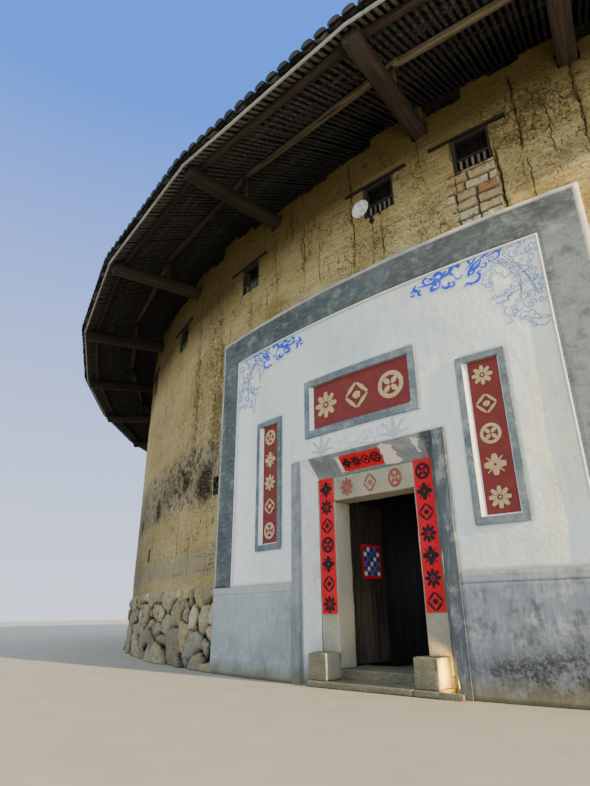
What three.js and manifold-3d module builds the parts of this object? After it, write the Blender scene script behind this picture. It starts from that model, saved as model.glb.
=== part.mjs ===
// A round rammed-earth clan house, three storeys high, at half its real size.
// Lengths are real millimetres. The whole group is scaled by modelScale at the end.
// The origin is the centre of the ring on the ground, +Z is up, and the gate faces -Y.
// Angles are in degrees round the ring, from the gate (0) towards +X.

import * as THREE from 'three';
import { mergeVertices } from 'three/addons/utils/BufferGeometryUtils.js';
import Module from 'manifold-3d';

const wasm = await Module();
wasm.setup();

const modelScale = 0.5;
const seam = 0.6;              // gap between neighbouring pieces
const clear = 20;              // gap between pieces that stand apart
const lap = 10;                // how far solids run into each other before they are joined

// Cutters reach past the faces that they cut
const cutInner = 18500;
const cutOuter = 20700;
const far = 3000;

// Ring wall
const wallRadius = 20300;      // outer face on the ground
const wallBatter = 0.0092;     // the outer face leans in by this much for each unit of height
const wallTop = 8950;
const plinthTop = 1320;
const innerRadii = [19000, 19100, 19200];   // the inner face steps back at each floor
const ledges = [3350, 6200];                // heights of those steps
const storeys = ['first', 'second'];
const floorThickness = 150;

// Bays: the angles of the radial beams. The five bays by the gate were measured, the rest are equal.
const gateBeams = [10.89, 4.28, -5.31, -14.88, -24.5, -34.1];
const equalBays = 33;
const frontHalf = 14.25;       // half angle of the front wall sector
const frontFacets = 11;        // flats across the front sector
const sectorFacets = 20;       // flats across each other sector

// Windows, one to a bay, and smoke slots
const windows = { width: 600, bottom: 7250, height: 670, fromBeam: -2.45, byGate: 6.5 };
const smokeSlots = [
  { angle: -10.7, bottom: 3120, width: 200, height: 340 },
  { angle: -22.0, bottom: 2150, width: 130, height: 280 },
];

// Roof: a gabled ring, given by its underside
const eave = { radius: 22550, height: 8560 };
const roofSlope = 0.51;
const ridgeRadius = 16900;
const innerEaveRadius = 11900;
const roofThickness = 120;
const ridgeCap = { halfBase: 170, halfTop: 130, height: 240 };

// Roof timbers
const beam = { size: 280, bottom: 8335, outer: 22380, inner: 12150 };
const purlin = 150;
const strut = { width: 160, depth: 120 };
const eavePurlin = 22160;
const strutPurlins = { overhang: 21050, wall: 19000, ridge: ridgeRadius, yard: 12300 };
const pocket = { width: 310, top: 8640 };

// Gallery round the courtyard
const galleryRadius = 13300;
const post = 220;
const plate = { depth: 160, half: 90 };
const ringBeam = { depth: 200, inner: 13430, outer: 13640 };
const rail = { thickness: 60, height: 1050 };
const hall = { left: -5.31, right: 4.28, thickness: 100 };

// Plaster front, by half widths along the wall and heights
const facing = {
  outerHalf: 3580, outerTop: 6230, innerHalf: 2980, innerTop: 5630, dadoTop: 1360,
  panelProud: 60, borderProud: 85, dadoProud: 80,
};
const surround = { half: 1380, top: 3220, proud: 95, splayHalf: 1195, splayTop: 3190 };
const plaque = { centre: 0, half: 1063, bottom: 3570, top: 4570, margin: 130 };
const couplet = { centre: 1980, half: 330, bottom: 1900, top: 4140, margin: 95 };
const frameProud = 82;
const boardProud = 30;

// Gateway, by distances behind the wall's outer face at the gate's middle
const granite = { front: 240, back: 630, half: 1030, clearHalf: 710, clearTop: 2550, top: 2920 };
const sill = { back: 1000, top: 200 };
const doorstep = { front: -170, left: -1015, right: 1330, top: 75, notchFront: -120 };
const doorBlock = { inner: 680, outer: 1010, front: -110, top: 420 };
const leaf = {
  pivotX: 800, pivotDepth: 690, width: 790, thickness: 60, bottom: 225, top: 2600, open: 83,
  stileRadius: 45, pinRadius: 24, socketRadius: 27, pinLength: 30, headroom: 10,
};
const doorHead = { bottom: 2630, depth: 220 };

// Lamp on an arm that stands out from the wall under the second window
const lamp = {
  x: 534, z: 7135, standOff: 410, radius: 160, depth: 70,
  footX: 500, footZ: 7150, plateRadius: 45, plateDepth: 20, armRadius: 14,
};

const round = (degrees) => THREE.MathUtils.degToRad(degrees);
const polar = (angle, radius, z) =>
  new THREE.Vector3(radius * Math.sin(round(angle)), -radius * Math.cos(round(angle)), z);
const outerFace = (z, proud = 0) => wallRadius - wallBatter * z + proud;
const alongWall = (length) => THREE.MathUtils.radToDeg(length / wallRadius);
const depthToY = (depth) => -(wallRadius - depth);

// Equal steps from a to b, both included
function steps(a, b, count) {
  return Array.from({ length: count + 1 }, (_, i) => a + ((b - a) * i) / count);
}

function beamAngles() {
  const last = gateBeams[gateBeams.length - 1];
  const bay = (360 - (gateBeams[0] - last)) / equalBays;
  const rest = steps(gateBeams[0] + bay, gateBeams[0] + bay * (equalBays - 1), equalBays - 2);
  return [...gateBeams].reverse().concat(rest);
}

// Solids, as manifolds that three.js geometry goes into and comes out of

function solid(geometry) {
  const bare = geometry.index ? geometry.toNonIndexed() : geometry.clone();
  bare.deleteAttribute('normal');
  bare.deleteAttribute('uv');
  const merged = mergeVertices(bare, 1e-3);
  const made = new wasm.Manifold(new wasm.Mesh({
    numProp: 3,
    vertProperties: merged.attributes.position.array,
    triVerts: new Uint32Array(merged.index.array),
  }));
  return made;
}

function geometryOf(manifold) {
  const mesh = manifold.getMesh();
  const positions = new Float32Array(mesh.numVert * 3);
  for (let i = 0; i < mesh.numVert; i++) {
    for (let k = 0; k < 3; k++) positions[i * 3 + k] = mesh.vertProperties[i * mesh.numProp + k];
  }
  const geometry = new THREE.BufferGeometry();
  geometry.setAttribute('position', new THREE.BufferAttribute(positions, 3));
  geometry.setIndex(new THREE.BufferAttribute(new Uint32Array(mesh.triVerts), 1));
  return geometry;
}

const union = (parts) => parts.reduce((sum, part) => sum.add(part));
const without = (body, cutters) => cutters.reduce((rest, cutter) => rest.subtract(cutter), body);

function block(x0, x1, y0, y1, z0, z1) {
  const geometry = new THREE.BoxGeometry(x1 - x0, y1 - y0, z1 - z0);
  geometry.translate((x0 + x1) / 2, (y0 + y1) / 2, (z0 + z1) / 2);
  return solid(geometry);
}

// A block by half width and by depths behind the wall's face
const gateBlock = (x0, x1, front, back, z0, z1) => block(x0, x1, depthToY(front), depthToY(back), z0, z1);

// A profile of [radius, height] points swept through a list of angles. A whole ring closes on itself.
function ring(profile, angles, whole = false) {
  const points = angles.flatMap((angle) => profile.map(([r, z]) => polar(angle, r, z)));
  const n = profile.length;
  const at = (i, j) => (i % angles.length) * n + (j % n);
  const faces = [];
  const lastSpan = whole ? angles.length : angles.length - 1;
  for (let i = 0; i < lastSpan; i++) {
    for (let j = 0; j < n; j++) {
      faces.push(at(i, j), at(i + 1, j), at(i + 1, j + 1), at(i, j), at(i + 1, j + 1), at(i, j + 1));
    }
  }
  if (!whole) {
    const caps = THREE.ShapeUtils.triangulateShape(profile.map(([r, z]) => new THREE.Vector2(r, z)), []);
    const end = (angles.length - 1) * n;
    for (const [a, b, c] of caps) faces.push(a, b, c, end + a, end + c, end + b);
  }
  const geometry = new THREE.BufferGeometry().setFromPoints(points);
  geometry.setIndex(faces);
  return solid(geometry);
}

// A box in plan that stands across the ring at an angle: for windows, pockets and posts
function radialBlock(angle, width, r0, r1, z0, z1) {
  const geometry = new THREE.BoxGeometry(width, r1 - r0, z1 - z0);
  geometry.translate(0, -(r0 + r1) / 2, (z0 + z1) / 2);
  geometry.rotateZ(round(angle));
  return solid(geometry);
}

// A cylinder standing upright
function pin(x, y, radius, z0, z1, sides = 12) {
  const geometry = new THREE.CylinderGeometry(radius, radius, z1 - z0, sides);
  geometry.rotateX(Math.PI / 2);
  geometry.translate(x, y, (z0 + z1) / 2);
  return solid(geometry);
}

// A cylinder about a centre, along a direction
function rod(centre, direction, radius, length, sides) {
  const geometry = new THREE.CylinderGeometry(radius, radius, length, sides);
  const up = new THREE.Vector3(0, 1, 0);
  geometry.applyQuaternion(new THREE.Quaternion().setFromUnitVectors(up, direction.clone().normalize()));
  geometry.translate(centre.x, centre.y, centre.z);
  return solid(geometry);
}

// A box whose front and back rectangles differ: the splayed opening of the gateway
function funnel(front, back) {
  const corner = (face, x, z) => new THREE.Vector3(x * face.half, depthToY(face.depth), z);
  const points = [front, back].flatMap((face) => [
    corner(face, -1, face.bottom), corner(face, 1, face.bottom),
    corner(face, 1, face.top), corner(face, -1, face.top),
  ]);
  const quads = [[0, 1, 2, 3], [5, 4, 7, 6], [4, 0, 3, 7], [1, 5, 6, 2], [3, 2, 6, 7], [4, 5, 1, 0]];
  const geometry = new THREE.BufferGeometry().setFromPoints(points);
  geometry.setIndex(quads.flatMap(([a, b, c, d]) => [a, b, c, a, c, d]));
  return solid(geometry);
}

// Materials
const finish = {
  earth: { color: 0xb8954f, roughness: 0.95 },
  rubble: { color: 0x8a7d63, roughness: 0.9 },
  limewash: { color: 0xd4d3c4, roughness: 0.85 },
  greyPlaster: { color: 0x727a80, roughness: 0.85 },
  redBoard: { color: 0x7c2f2b, roughness: 0.7 },
  granite: { color: 0x9a9080, roughness: 0.85 },
  lampGlass: { color: 0xd9dcdc, roughness: 0.4 },
  darkTimber: { color: 0x3b2b20, roughness: 0.85 },
  oldTimber: { color: 0x6b4d35, roughness: 0.85 },
  tiles: { color: 0x4a4845, roughness: 0.9 },
};

const tulou = new THREE.Group();

function add(name, manifold, look, placing) {
  const material = new THREE.MeshStandardMaterial({ metalness: 0, ...look });
  const mesh = new THREE.Mesh(geometryOf(manifold), material);
  mesh.name = name;
  if (placing) mesh.applyMatrix4(placing);
  tulou.add(mesh);
}

// The sectors of the ring wall, with the small inset that keeps neighbours apart
const seamAngle = THREE.MathUtils.radToDeg(seam / 2 / innerRadii[0]);
const frontAngles = steps(-frontHalf + seamAngle, frontHalf - seamAngle, frontFacets);
const sectorNames = ['right_front', 'right_back', 'left_back', 'left_front'];
const sectorSpan = (360 - 2 * frontHalf) / sectorNames.length;
const sectors = sectorNames.map((name, i) => {
  const start = frontHalf + sectorSpan * i;
  return { name, angles: steps(start + seamAngle, start + sectorSpan - seamAngle, sectorFacets) };
});

const beams = beamAngles();
const near = (a, b) => Math.abs(((a - b + 540) % 360) - 180);

const windowAngles = beams.map((angle) =>
  (angle === gateBeams[0] ? windows.byGate : angle + windows.fromBeam));

const windowCuts = windowAngles.map((angle) => ({
  angle,
  solid: radialBlock(angle, windows.width, cutInner, cutOuter, windows.bottom,
    windows.bottom + windows.height),
}));
const pocketCuts = beams.map((angle) => ({
  angle,
  solid: radialBlock(angle, pocket.width, cutInner, cutOuter, beam.bottom - seam, pocket.top),
}));
const slotCuts = smokeSlots.map(({ angle, bottom, width, height }) => ({
  angle,
  solid: radialBlock(angle, width, cutInner, cutOuter, bottom, bottom + height),
}));

const cutsWithin = (angles) => {
  const middle = (angles[0] + angles[angles.length - 1]) / 2;
  const half = (angles[angles.length - 1] - angles[0]) / 2 + 1;
  return [...windowCuts, ...pocketCuts, ...slotCuts]
    .filter((cut) => near(cut.angle, middle) < half)
    .map((cut) => cut.solid);
};

const earthProfile = [
  [outerFace(plinthTop), plinthTop + seam], [outerFace(wallTop), wallTop], [innerRadii[2], wallTop],
  [innerRadii[2], ledges[1]], [innerRadii[1], ledges[1]], [innerRadii[1], ledges[0]],
  [innerRadii[0], ledges[0]], [innerRadii[0], plinthTop + seam],
];
const plinthProfile = [
  [outerFace(0), 0], [outerFace(plinthTop), plinthTop], [innerRadii[0], plinthTop], [innerRadii[0], 0],
];

function makeRingWall() {
  for (const { name, angles } of sectors) {
    add(`plinth_${name}`, ring(plinthProfile, angles), finish.rubble);
    add(`earth_wall_${name}`, without(ring(earthProfile, angles), cutsWithin(angles)), finish.earth);
  }
}

// The front sector is split beside and over the gateway
function makeFrontWall() {
  const gateCuts = [
    gateBlock(-surround.half - seam, surround.half + seam, -far, granite.front + seam, -far,
      surround.top + seam),
    gateBlock(-granite.half - seam, granite.half + seam, -far, far, -far, granite.top + seam),
    gateBlock(-surround.half - seam, surround.half + seam, -far, far, granite.top - seam,
      surround.top + seam),
  ];
  const overGate = gateBlock(-surround.half, surround.half, -far, far, surround.top + seam, wallTop + far);
  const overCut = gateBlock(-surround.half - seam, surround.half + seam, -far, far, surround.top,
    wallTop + far);
  const sideBlock = (x0, x1) => block(x0, x1, -wallRadius - far, 0, -far, wallTop + far);
  const sides = { left: sideBlock(-wallRadius, 0), right: sideBlock(0, wallRadius) };
  const earth = without(ring(earthProfile, frontAngles), cutsWithin(frontAngles));
  const plinth = ring(plinthProfile, frontAngles);
  add('earth_wall_over_gate', earth.intersect(overGate), finish.earth);
  for (const [side, half] of Object.entries(sides)) {
    add(`plinth_gate_${side}`, without(plinth.intersect(half), gateCuts), finish.rubble);
    add(`earth_wall_gate_${side}`, without(earth.intersect(half), [...gateCuts, overCut]), finish.earth);
  }
  const lintel = gateBlock(-surround.half, surround.half, granite.front + seam,
    wallRadius - innerRadii[0] - seam, granite.top + seam, surround.top);
  add('passage_lintel', lintel, finish.oldTimber);
}

// A curved slab on the front of the wall, between two lengths along it and two heights
function facingSlab(from, to, bottom, top, inner, outer) {
  const shell = ring([
    [outerFace(-far, outer), -far], [outerFace(wallTop, outer), wallTop],
    [outerFace(wallTop, inner), wallTop], [outerFace(-far, inner), -far],
  ], frontAngles);
  const wedgeFlats = 4;
  const wedge = ring([[cutInner, bottom], [cutOuter, bottom], [cutOuter, top], [cutInner, top]],
    steps(alongWall(from), alongWall(to), wedgeFlats));
  return shell.intersect(wedge);
}

function makeFacing() {
  const f = facing;
  const gate = gateBlock(-surround.half - seam, surround.half + seam, -far, granite.front, -far,
    surround.top + seam);
  const boards = [
    { name: 'gate_plaque', ...plaque },
    { name: 'couplet_left', ...couplet, centre: -couplet.centre },
    { name: 'couplet_right', ...couplet },
  ];
  const hole = ({ centre, half, bottom, top }, grow, inner) =>
    facingSlab(centre - half - grow, centre + half + grow, bottom - grow, top + grow, inner, far);
  const holes = boards.map((board) => hole(board, seam, -far));

  const panel = facingSlab(-f.innerHalf, f.innerHalf, f.dadoTop + seam, f.innerTop, seam, f.panelProud);
  add('limewashed_panel', without(panel, [gate, ...holes]), finish.limewash);

  const band = facingSlab(-f.outerHalf, f.outerHalf, f.dadoTop + seam, f.outerTop, seam, f.borderProud);
  const bandHole = facingSlab(-f.innerHalf - seam, f.innerHalf + seam, -far, f.innerTop + seam, -far, far);
  add('panel_border', band.subtract(bandHole), finish.greyPlaster);

  const dado = { left: [-f.outerHalf, 0], right: [0, f.outerHalf] };
  for (const [side, [from, to]] of Object.entries(dado)) {
    const slab = facingSlab(from, to, 0, f.dadoTop, seam, f.dadoProud);
    add(`dado_${side}`, slab.subtract(gate), finish.greyPlaster);
  }

  for (const board of boards) {
    const { name, centre, half, bottom, top, margin } = board;
    const outer = facingSlab(centre - half, centre + half, bottom, top, seam, frameProud);
    add(name, outer.subtract(hole(board, -margin, boardProud)), finish.redBoard);
  }
}

function makeGateway() {
  const g = granite;
  const splay = (depth) => ({
    depth,
    half: surround.splayHalf - ((surround.splayHalf - g.half) * depth) / g.front,
    top: surround.splayTop - ((surround.splayTop - g.top) * depth) / g.front,
    bottom: -far,
  });
  const casing = gateBlock(-surround.half, surround.half, -far, g.front, 0, surround.top);
  const curved = ring([
    [outerFace(-far, surround.proud), -far], [outerFace(wallTop, surround.proud), wallTop],
    [cutInner, wallTop], [cutInner, -far],
  ], frontAngles);
  const doorSurround = casing.intersect(curved).subtract(funnel(splay(-far), splay(g.front + lap)));
  add('door_surround', doorSurround, finish.greyPlaster);

  const step = gateBlock(doorstep.left, doorstep.right, doorstep.front, g.front - seam, 0, doorstep.top);
  const notches = [
    gateBlock(-surround.half - seam, -surround.splayHalf, doorstep.notchFront, far, -far, far),
    gateBlock(g.half - seam, surround.half + seam, doorstep.notchFront, far, -far, far),
  ];
  add('doorstep', without(step, notches), finish.granite);

  const sillBody = gateBlock(-g.half, g.half, g.front, sill.back, 0, sill.top);
  const l = leaf;
  const sockets = [-1, 1].map((side) =>
    pin(side * l.pivotX, depthToY(l.pivotDepth), l.socketRadius, sill.top - l.pinLength, sill.top + lap));
  add('door_sill', without(sillBody, sockets), finish.granite);

  for (const [side, sign] of Object.entries({ left: -1, right: 1 })) {
    const span = (a, b) => [Math.min(sign * a, sign * b), Math.max(sign * a, sign * b)];
    const jamb = gateBlock(...span(g.clearHalf, g.half), g.front, g.back, sill.top + seam, g.clearTop);
    add(`granite_jamb_${side}`, jamb, finish.granite);
    add(`door_block_${side}`, gateBlock(...span(doorBlock.inner, doorBlock.outer), doorBlock.front,
      g.front - seam, doorstep.top + seam, doorBlock.top), finish.granite);
  }
  const lintel = gateBlock(-g.half, g.half, g.front, g.back, g.clearTop + seam, g.top);
  add('granite_lintel', lintel, finish.granite);

  const headSockets = [-1, 1].map((side) =>
    pin(side * l.pivotX, depthToY(l.pivotDepth), l.socketRadius, doorHead.bottom - lap,
      doorHead.bottom + l.pinLength + l.headroom));
  const head = gateBlock(-g.half, g.half, g.back + seam, g.back + doorHead.depth, doorHead.bottom, g.top);
  add('door_head', without(head, headSockets), finish.darkTimber);
}

// Each leaf is built shut, on its pivot, and then turned to where it stands open
function makeLeaves() {
  const l = leaf;
  const place = new THREE.Group();
  for (const [side, sign] of Object.entries({ left: -1, right: 1 })) {
    const reach = [0, -sign * l.width];
    const body = union([
      block(Math.min(...reach), Math.max(...reach), -l.thickness / 2, l.thickness / 2, l.bottom, l.top),
      pin(0, 0, l.stileRadius, l.bottom, l.top),
      pin(0, 0, l.pinRadius, sill.top - l.pinLength + seam, doorHead.bottom + l.pinLength),
    ]);
    place.position.set(sign * l.pivotX, depthToY(l.pivotDepth), 0);
    place.rotation.z = -sign * round(l.open);
    place.updateMatrix();
    add(`door_leaf_${side}`, body, finish.darkTimber, place.matrix);
  }
}

// A round lamp glass, an arm and its plate on the wall
function makeLamp() {
  const flat = Math.cos(round(frontHalf / frontFacets));
  const wallY = -outerFace(lamp.footZ - lamp.plateRadius) * flat - seam;
  const centre = new THREE.Vector3(lamp.x, wallY - lamp.standOff, lamp.z);
  const foot = new THREE.Vector3(lamp.footX, wallY - lamp.plateDepth / 2, lamp.footZ);
  const outward = new THREE.Vector3(0, 1, 0);
  const reach = foot.clone().sub(centre);
  add('wall_lamp', union([
    rod(centre, outward, lamp.radius, lamp.depth, 20),
    rod(foot, outward, lamp.plateRadius, lamp.plateDepth, 12),
    rod(centre.clone().addScaledVector(reach, 0.5), reach, lamp.armRadius, reach.length(), 8),
  ]), finish.lampGlass);
}

const underRoof = (r) => {
  const top = eave.height + roofSlope * (eave.radius - ridgeRadius);
  return top - roofSlope * Math.abs(r - ridgeRadius);
};

// Roof sectors are flat from beam to beam, so the eave is a polygon
function makeRoof(quarters) {
  quarters.forEach(({ name, list }) => {
    const inset = THREE.MathUtils.radToDeg(seam / 2 / innerEaveRadius);
    const angles = list.map((angle, i) =>
      angle + (i === 0 ? inset : 0) - (i === list.length - 1 ? inset : 0));
    const line = [eave.radius, ridgeRadius, innerEaveRadius];
    const profile = [
      ...line.map((r) => [r, underRoof(r)]),
      ...line.reverse().map((r) => [r, underRoof(r) + roofThickness]),
    ];
    add(`tile_roof_${name}`, ring(profile.reverse(), angles), finish.tiles);
  });
  const c = ridgeCap;
  const base = underRoof(ridgeRadius) + roofThickness + seam * 2;
  const low = base - c.halfBase * roofSlope;
  add('roof_ridge', ring([
    [ridgeRadius + c.halfBase, low], [ridgeRadius + c.halfTop, base + c.height],
    [ridgeRadius - c.halfTop, base + c.height], [ridgeRadius - c.halfBase, low], [ridgeRadius, base],
  ], beams, true), finish.tiles);
}

const purlinRing = (r, angles, whole) => {
  const half = purlin / 2;
  const top = underRoof(r) - half * roofSlope - 2 * seam;
  const low = top - purlin;
  return ring([[r - half, low], [r + half, low], [r + half, top], [r - half, top]], angles, whole);
};
const beamTop = beam.bottom + beam.size;

// Radial beams pass through the wall and carry the eave purlin on their ends
function makeRoofBeams(halves) {
  for (const { name, list } of halves) {
    const own = list.slice(0, -1).map((angle) =>
      radialBlock(angle, beam.size, beam.inner, beam.outer, beam.bottom, beamTop));
    const last = list[list.length - 1];
    const nextBeam = radialBlock(last, beam.size + 2 * seam, innerEaveRadius, eave.radius, 0,
      wallTop + far);
    const timbers = union([...own, purlinRing(eavePurlin, list)]).subtract(nextBeam);
    add(`roof_beams_${name}`, timbers, finish.oldTimber);
  }
}

// The other purlins are whole rings on struts that stand on the beams
function makePurlins() {
  const half = strut.depth / 2;
  for (const [name, r] of Object.entries(strutPurlins)) {
    const struts = beams.map((angle) =>
      radialBlock(angle, strut.width, r - half, r + half, beamTop + seam, underRoof(r) - purlin));
    add(`purlin_${name}`, union([purlinRing(r, beams, true), ...struts]), finish.oldTimber);
  }
}

// Posts under a plate that the beams lie on
function makeGalleryPosts(halves) {
  const r = galleryRadius;
  const top = beam.bottom - seam;
  for (const { name, list } of halves) {
    const posts = list.slice(0, -1).map((angle) =>
      radialBlock(angle, post, r - post / 2, r + post / 2, 0, top - lap));
    const arc = ring([
      [r - plate.half, top - plate.depth], [r + plate.half, top - plate.depth],
      [r + plate.half, top], [r - plate.half, top],
    ], list);
    const last = list[list.length - 1];
    const nextPost = radialBlock(last, post + 2 * seam, r - post, r + post, -far, beam.bottom);
    add(`gallery_posts_${name}`, union([...posts, arc]).subtract(nextPost), finish.oldTimber);
  }
}

// A ring beam and a rail panel behind the posts, for each upper floor
function makeGalleryRails() {
  const { inner, outer, depth } = ringBeam;
  const back = inner + rail.thickness;
  ledges.forEach((z, i) => {
    add(`gallery_rail_${storeys[i]}`, ring([
      [inner, z - depth], [outer, z - depth], [outer, z - seam], [back, z - seam],
      [back, z + rail.height], [inner, z + rail.height],
    ], beams, true), finish.oldTimber);
  });
}

// Each floor lies on a ring beam and on the wall's step
function makeFloors() {
  const inner = ringBeam.inner + rail.thickness + clear;
  const angles = beams.flatMap((angle, i) => [angle, (angle + (beams[i + 1] ?? beams[0] + 360)) / 2]);
  ledges.forEach((z, i) => {
    const outer = innerRadii[i + 1] - clear;
    add(`${storeys[i]}_floor`, ring([
      [inner, z + seam], [outer, z + seam], [outer, z + floorThickness], [inner, z + floorThickness],
    ], angles, true), finish.oldTimber);
  });
}

// The entrance hall is one bay wide between two partitions
function makeHall() {
  for (const side of ['left', 'right']) {
    add(`hall_partition_${side}`, radialBlock(hall[side], hall.thickness, ringBeam.outer + clear,
      innerRadii[0] - clear, 0, ledges[0]), finish.darkTimber);
  }
}

// Runs of bays. Each run ends at the beam that the next one starts with.
function runsOfBays(bays) {
  const turned = [beams[beams.length - 1] - 360, ...beams.slice(0, -1)];
  const closed = [...turned, turned[0] + 360];
  let start = 0;
  return Object.entries(bays).map(([name, count]) => {
    const list = closed.slice(start, start + count + 1);
    start += count;
    return { name, list };
  });
}

const quarters = runsOfBays({ front: 9, right: 10, back: 9, left: 10 });
const halves = runsOfBays({ right: 19, left: 19 });
makeRingWall();
makeFrontWall();
makeFacing();
makeGateway();
makeLeaves();
makeLamp();
makeHall();
makeFloors();
makeGalleryPosts(halves);
makeGalleryRails();
makeRoofBeams(halves);
makePurlins();
makeRoof(quarters);
tulou.scale.setScalar(modelScale);

export default tulou;
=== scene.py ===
from functools import partial
import math

import bmesh
import bpy
import numpy as np
from mathutils import Matrix, Vector, kdtree


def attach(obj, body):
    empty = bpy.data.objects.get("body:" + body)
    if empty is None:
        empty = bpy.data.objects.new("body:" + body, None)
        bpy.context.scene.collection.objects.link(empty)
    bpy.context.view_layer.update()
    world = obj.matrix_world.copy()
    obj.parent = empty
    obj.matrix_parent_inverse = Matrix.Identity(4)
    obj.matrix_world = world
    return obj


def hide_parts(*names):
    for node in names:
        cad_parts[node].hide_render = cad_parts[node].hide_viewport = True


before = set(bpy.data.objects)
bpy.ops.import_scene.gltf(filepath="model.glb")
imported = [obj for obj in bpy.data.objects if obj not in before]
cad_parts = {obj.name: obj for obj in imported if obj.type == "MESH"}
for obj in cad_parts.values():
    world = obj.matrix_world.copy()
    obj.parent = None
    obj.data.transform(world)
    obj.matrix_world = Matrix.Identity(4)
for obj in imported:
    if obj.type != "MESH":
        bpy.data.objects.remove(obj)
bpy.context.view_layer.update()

modelScale = 0.5      # lengths in this script are real metres, and the part stands at half size
print("frame loaded")

# The ring, as the frame has it. A place on the wall is s, metres along it from the gate, and z.
wall = {"radius": 20.3, "batter": 0.0092, "top": 8.95, "frontHalf": 14.25}
roof = {"ridge": 16.9, "ridgeUnder": 11.4415, "slope": 0.51}
beams = {"measured": [10.89, 4.28, -5.31, -14.88, -24.5, -34.1], "equalBays": 33,
         "bottom": 8.335, "size": 0.28, "inner": 12.15, "outer": 22.38}
gate = {"half": 1.377, "top": 3.22, "graniteFace": 20.06, "facingHalf": 3.58, "facingTop": 6.23,
        "panelHalf": 2.98, "panelTop": 5.63, "dadoTop": 1.36}


def linear(shade):
    channels = [int(shade[i:i + 2], 16) / 255 for i in (1, 3, 5)]
    return (*[c / 12.92 if c <= 0.04045 else ((c + 0.055) / 1.055) ** 2.4 for c in channels], 1.0)


def addNode(tree, kind, *values, stops=(), out=None, **settings):
    # Adds a node of an everyday kind, below, or of a type, and gives back one output, or all of them.
    # Its values go to the kind's inputs in turn, or are a dictionary; a socket is linked.
    typeName, usual, places, output = nodeKinds.get(kind, (kind, {}, {}, 0))
    node = tree.nodes.new(typeName)
    for name, value in {**usual, **settings}.items():
        setattr(node, name, value)
    for i, (position, shade) in enumerate(stops):
        ramp = node.color_ramp.elements
        element = ramp[i] if i < 2 else ramp.new(position)
        element.position, element.color = position, linear(shade)
    given = values[0] if values and isinstance(values[0], dict) else dict(zip(places, values))
    for place, value in {**places, **given}.items():
        if isinstance(value, bpy.types.NodeSocket):
            tree.links.new(value, node.inputs[place])
        elif value is not None:
            isShade = isinstance(value, str) and value.startswith("#")
            node.inputs[place].default_value = linear(value) if isShade else value
    return node.outputs if out == "all" else node.outputs[output if out is None else out]


# Type, settings, inputs with their usual values, output
nodeKinds = {
    "place": ("ShaderNodeTexCoord", {}, {}, "Object"),
    "value": ("ShaderNodeAttribute", {}, {}, "Fac"),
    "noise": ("ShaderNodeTexNoise", {}, {"Vector": None, "Scale": 5, "Detail": 4, "Roughness": 0.55},
              "Fac"),
    "drift": ("ShaderNodeTexNoise", {}, {"Vector": None, "Scale": 5, "Detail": 4, "Roughness": 0.7},
              "Color"),
    "cells": ("ShaderNodeTexVoronoi", {}, {"Vector": None, "Scale": 5}, "Color"),
    "seams": ("ShaderNodeTexVoronoi", {"feature": "DISTANCE_TO_EDGE"}, {"Vector": None, "Scale": 5},
              "Distance"),
    "lines": ("ShaderNodeTexVoronoi", {"feature": "DISTANCE_TO_EDGE", "voronoi_dimensions": "1D"},
              {"W": None, "Scale": 5}, "Distance"),
    "chance": ("ShaderNodeTexWhiteNoise", {"noise_dimensions": "2D"}, {0: None}, 0),
    "ramp": ("ShaderNodeValToRGB", {}, {0: None}, 0),
    "mix": ("ShaderNodeMix", {"data_type": "RGBA"}, {0: None, 6: None, 7: None}, 2),
    "range": ("ShaderNodeMapRange", {}, {0: None, 1: 0, 2: 1, 3: 0, 4: 1}, 0),
    "split": ("ShaderNodeSeparateXYZ", {}, {0: None}, 0),
    "join": ("ShaderNodeCombineXYZ", {}, {0: None, 1: None, 2: None}, 0),
    "shift": ("ShaderNodeVectorMath", {"operation": "ADD"}, {0: None, 1: None}, 0),
    "stretch": ("ShaderNodeVectorMath", {"operation": "MULTIPLY"}, {0: None, 1: None}, 0),
    "scale": ("ShaderNodeVectorMath", {"operation": "SCALE"}, {0: None, "Scale": None}, 0),
    "length": ("ShaderNodeVectorMath", {"operation": "LENGTH"}, {0: None}, "Value"),
    "bump": ("ShaderNodeBump", {}, {"Height": None, "Distance": 1, "Normal": None}, 0),
}
for operation in ("add", "subtract", "multiply", "divide", "maximum", "greater_than", "absolute", "floor",
                  "fract", "arctan2"):
    nodeKinds[operation] = ("ShaderNodeMath", {"operation": operation.upper()}, {0: 0.0, 1: 0.0}, 0)


# Smooth random surfaces over s and z

def lattice(ix, iy, seed):
    # A fixed chance, 0 to 1, for each whole place
    mixed = (ix.astype(np.int64) * 73856093) ^ (iy.astype(np.int64) * 19349663) ^ (seed * 83492791)
    mixed = (mixed ^ (mixed >> 13)) * 1274126177
    mixed = (mixed ^ (mixed >> 16)) & 0xFFFF
    return mixed / 65535.0


def noise(x, y, seed):
    ix, iy = np.floor(x), np.floor(y)
    fx, fy = x - ix, y - iy
    fx, fy = fx * fx * (3 - 2 * fx), fy * fy * (3 - 2 * fy)
    low = lattice(ix, iy, seed) * (1 - fx) + lattice(ix + 1, iy, seed) * fx
    high = lattice(ix, iy + 1, seed) * (1 - fx) + lattice(ix + 1, iy + 1, seed) * fx
    return 2 * (low * (1 - fy) + high * fy) - 1


def rough(x, y, size, seed, octaves=4):
    # Noise of this size and finer, about -1 to 1
    total = np.zeros_like(x)
    for k in range(octaves):
        total += noise(x / size * 2 ** k + 17.3 * k, y / size * 2 ** k, seed + k) * 0.5 ** k
    return total / 1.6


def smoothStep(low, high, x):
    t = np.clip((x - low) / (high - low), 0, 1)
    return t * t * (3 - 2 * t)


def within(x, low, high, soft):
    return smoothStep(low - soft, low, x) * (1 - smoothStep(high, high + soft, x))


# Places round the ring

def alongWall(degrees):
    return math.radians(degrees) * wall["radius"]


def wallRadiusAt(z):
    return wall["radius"] - wall["batter"] * z


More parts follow.
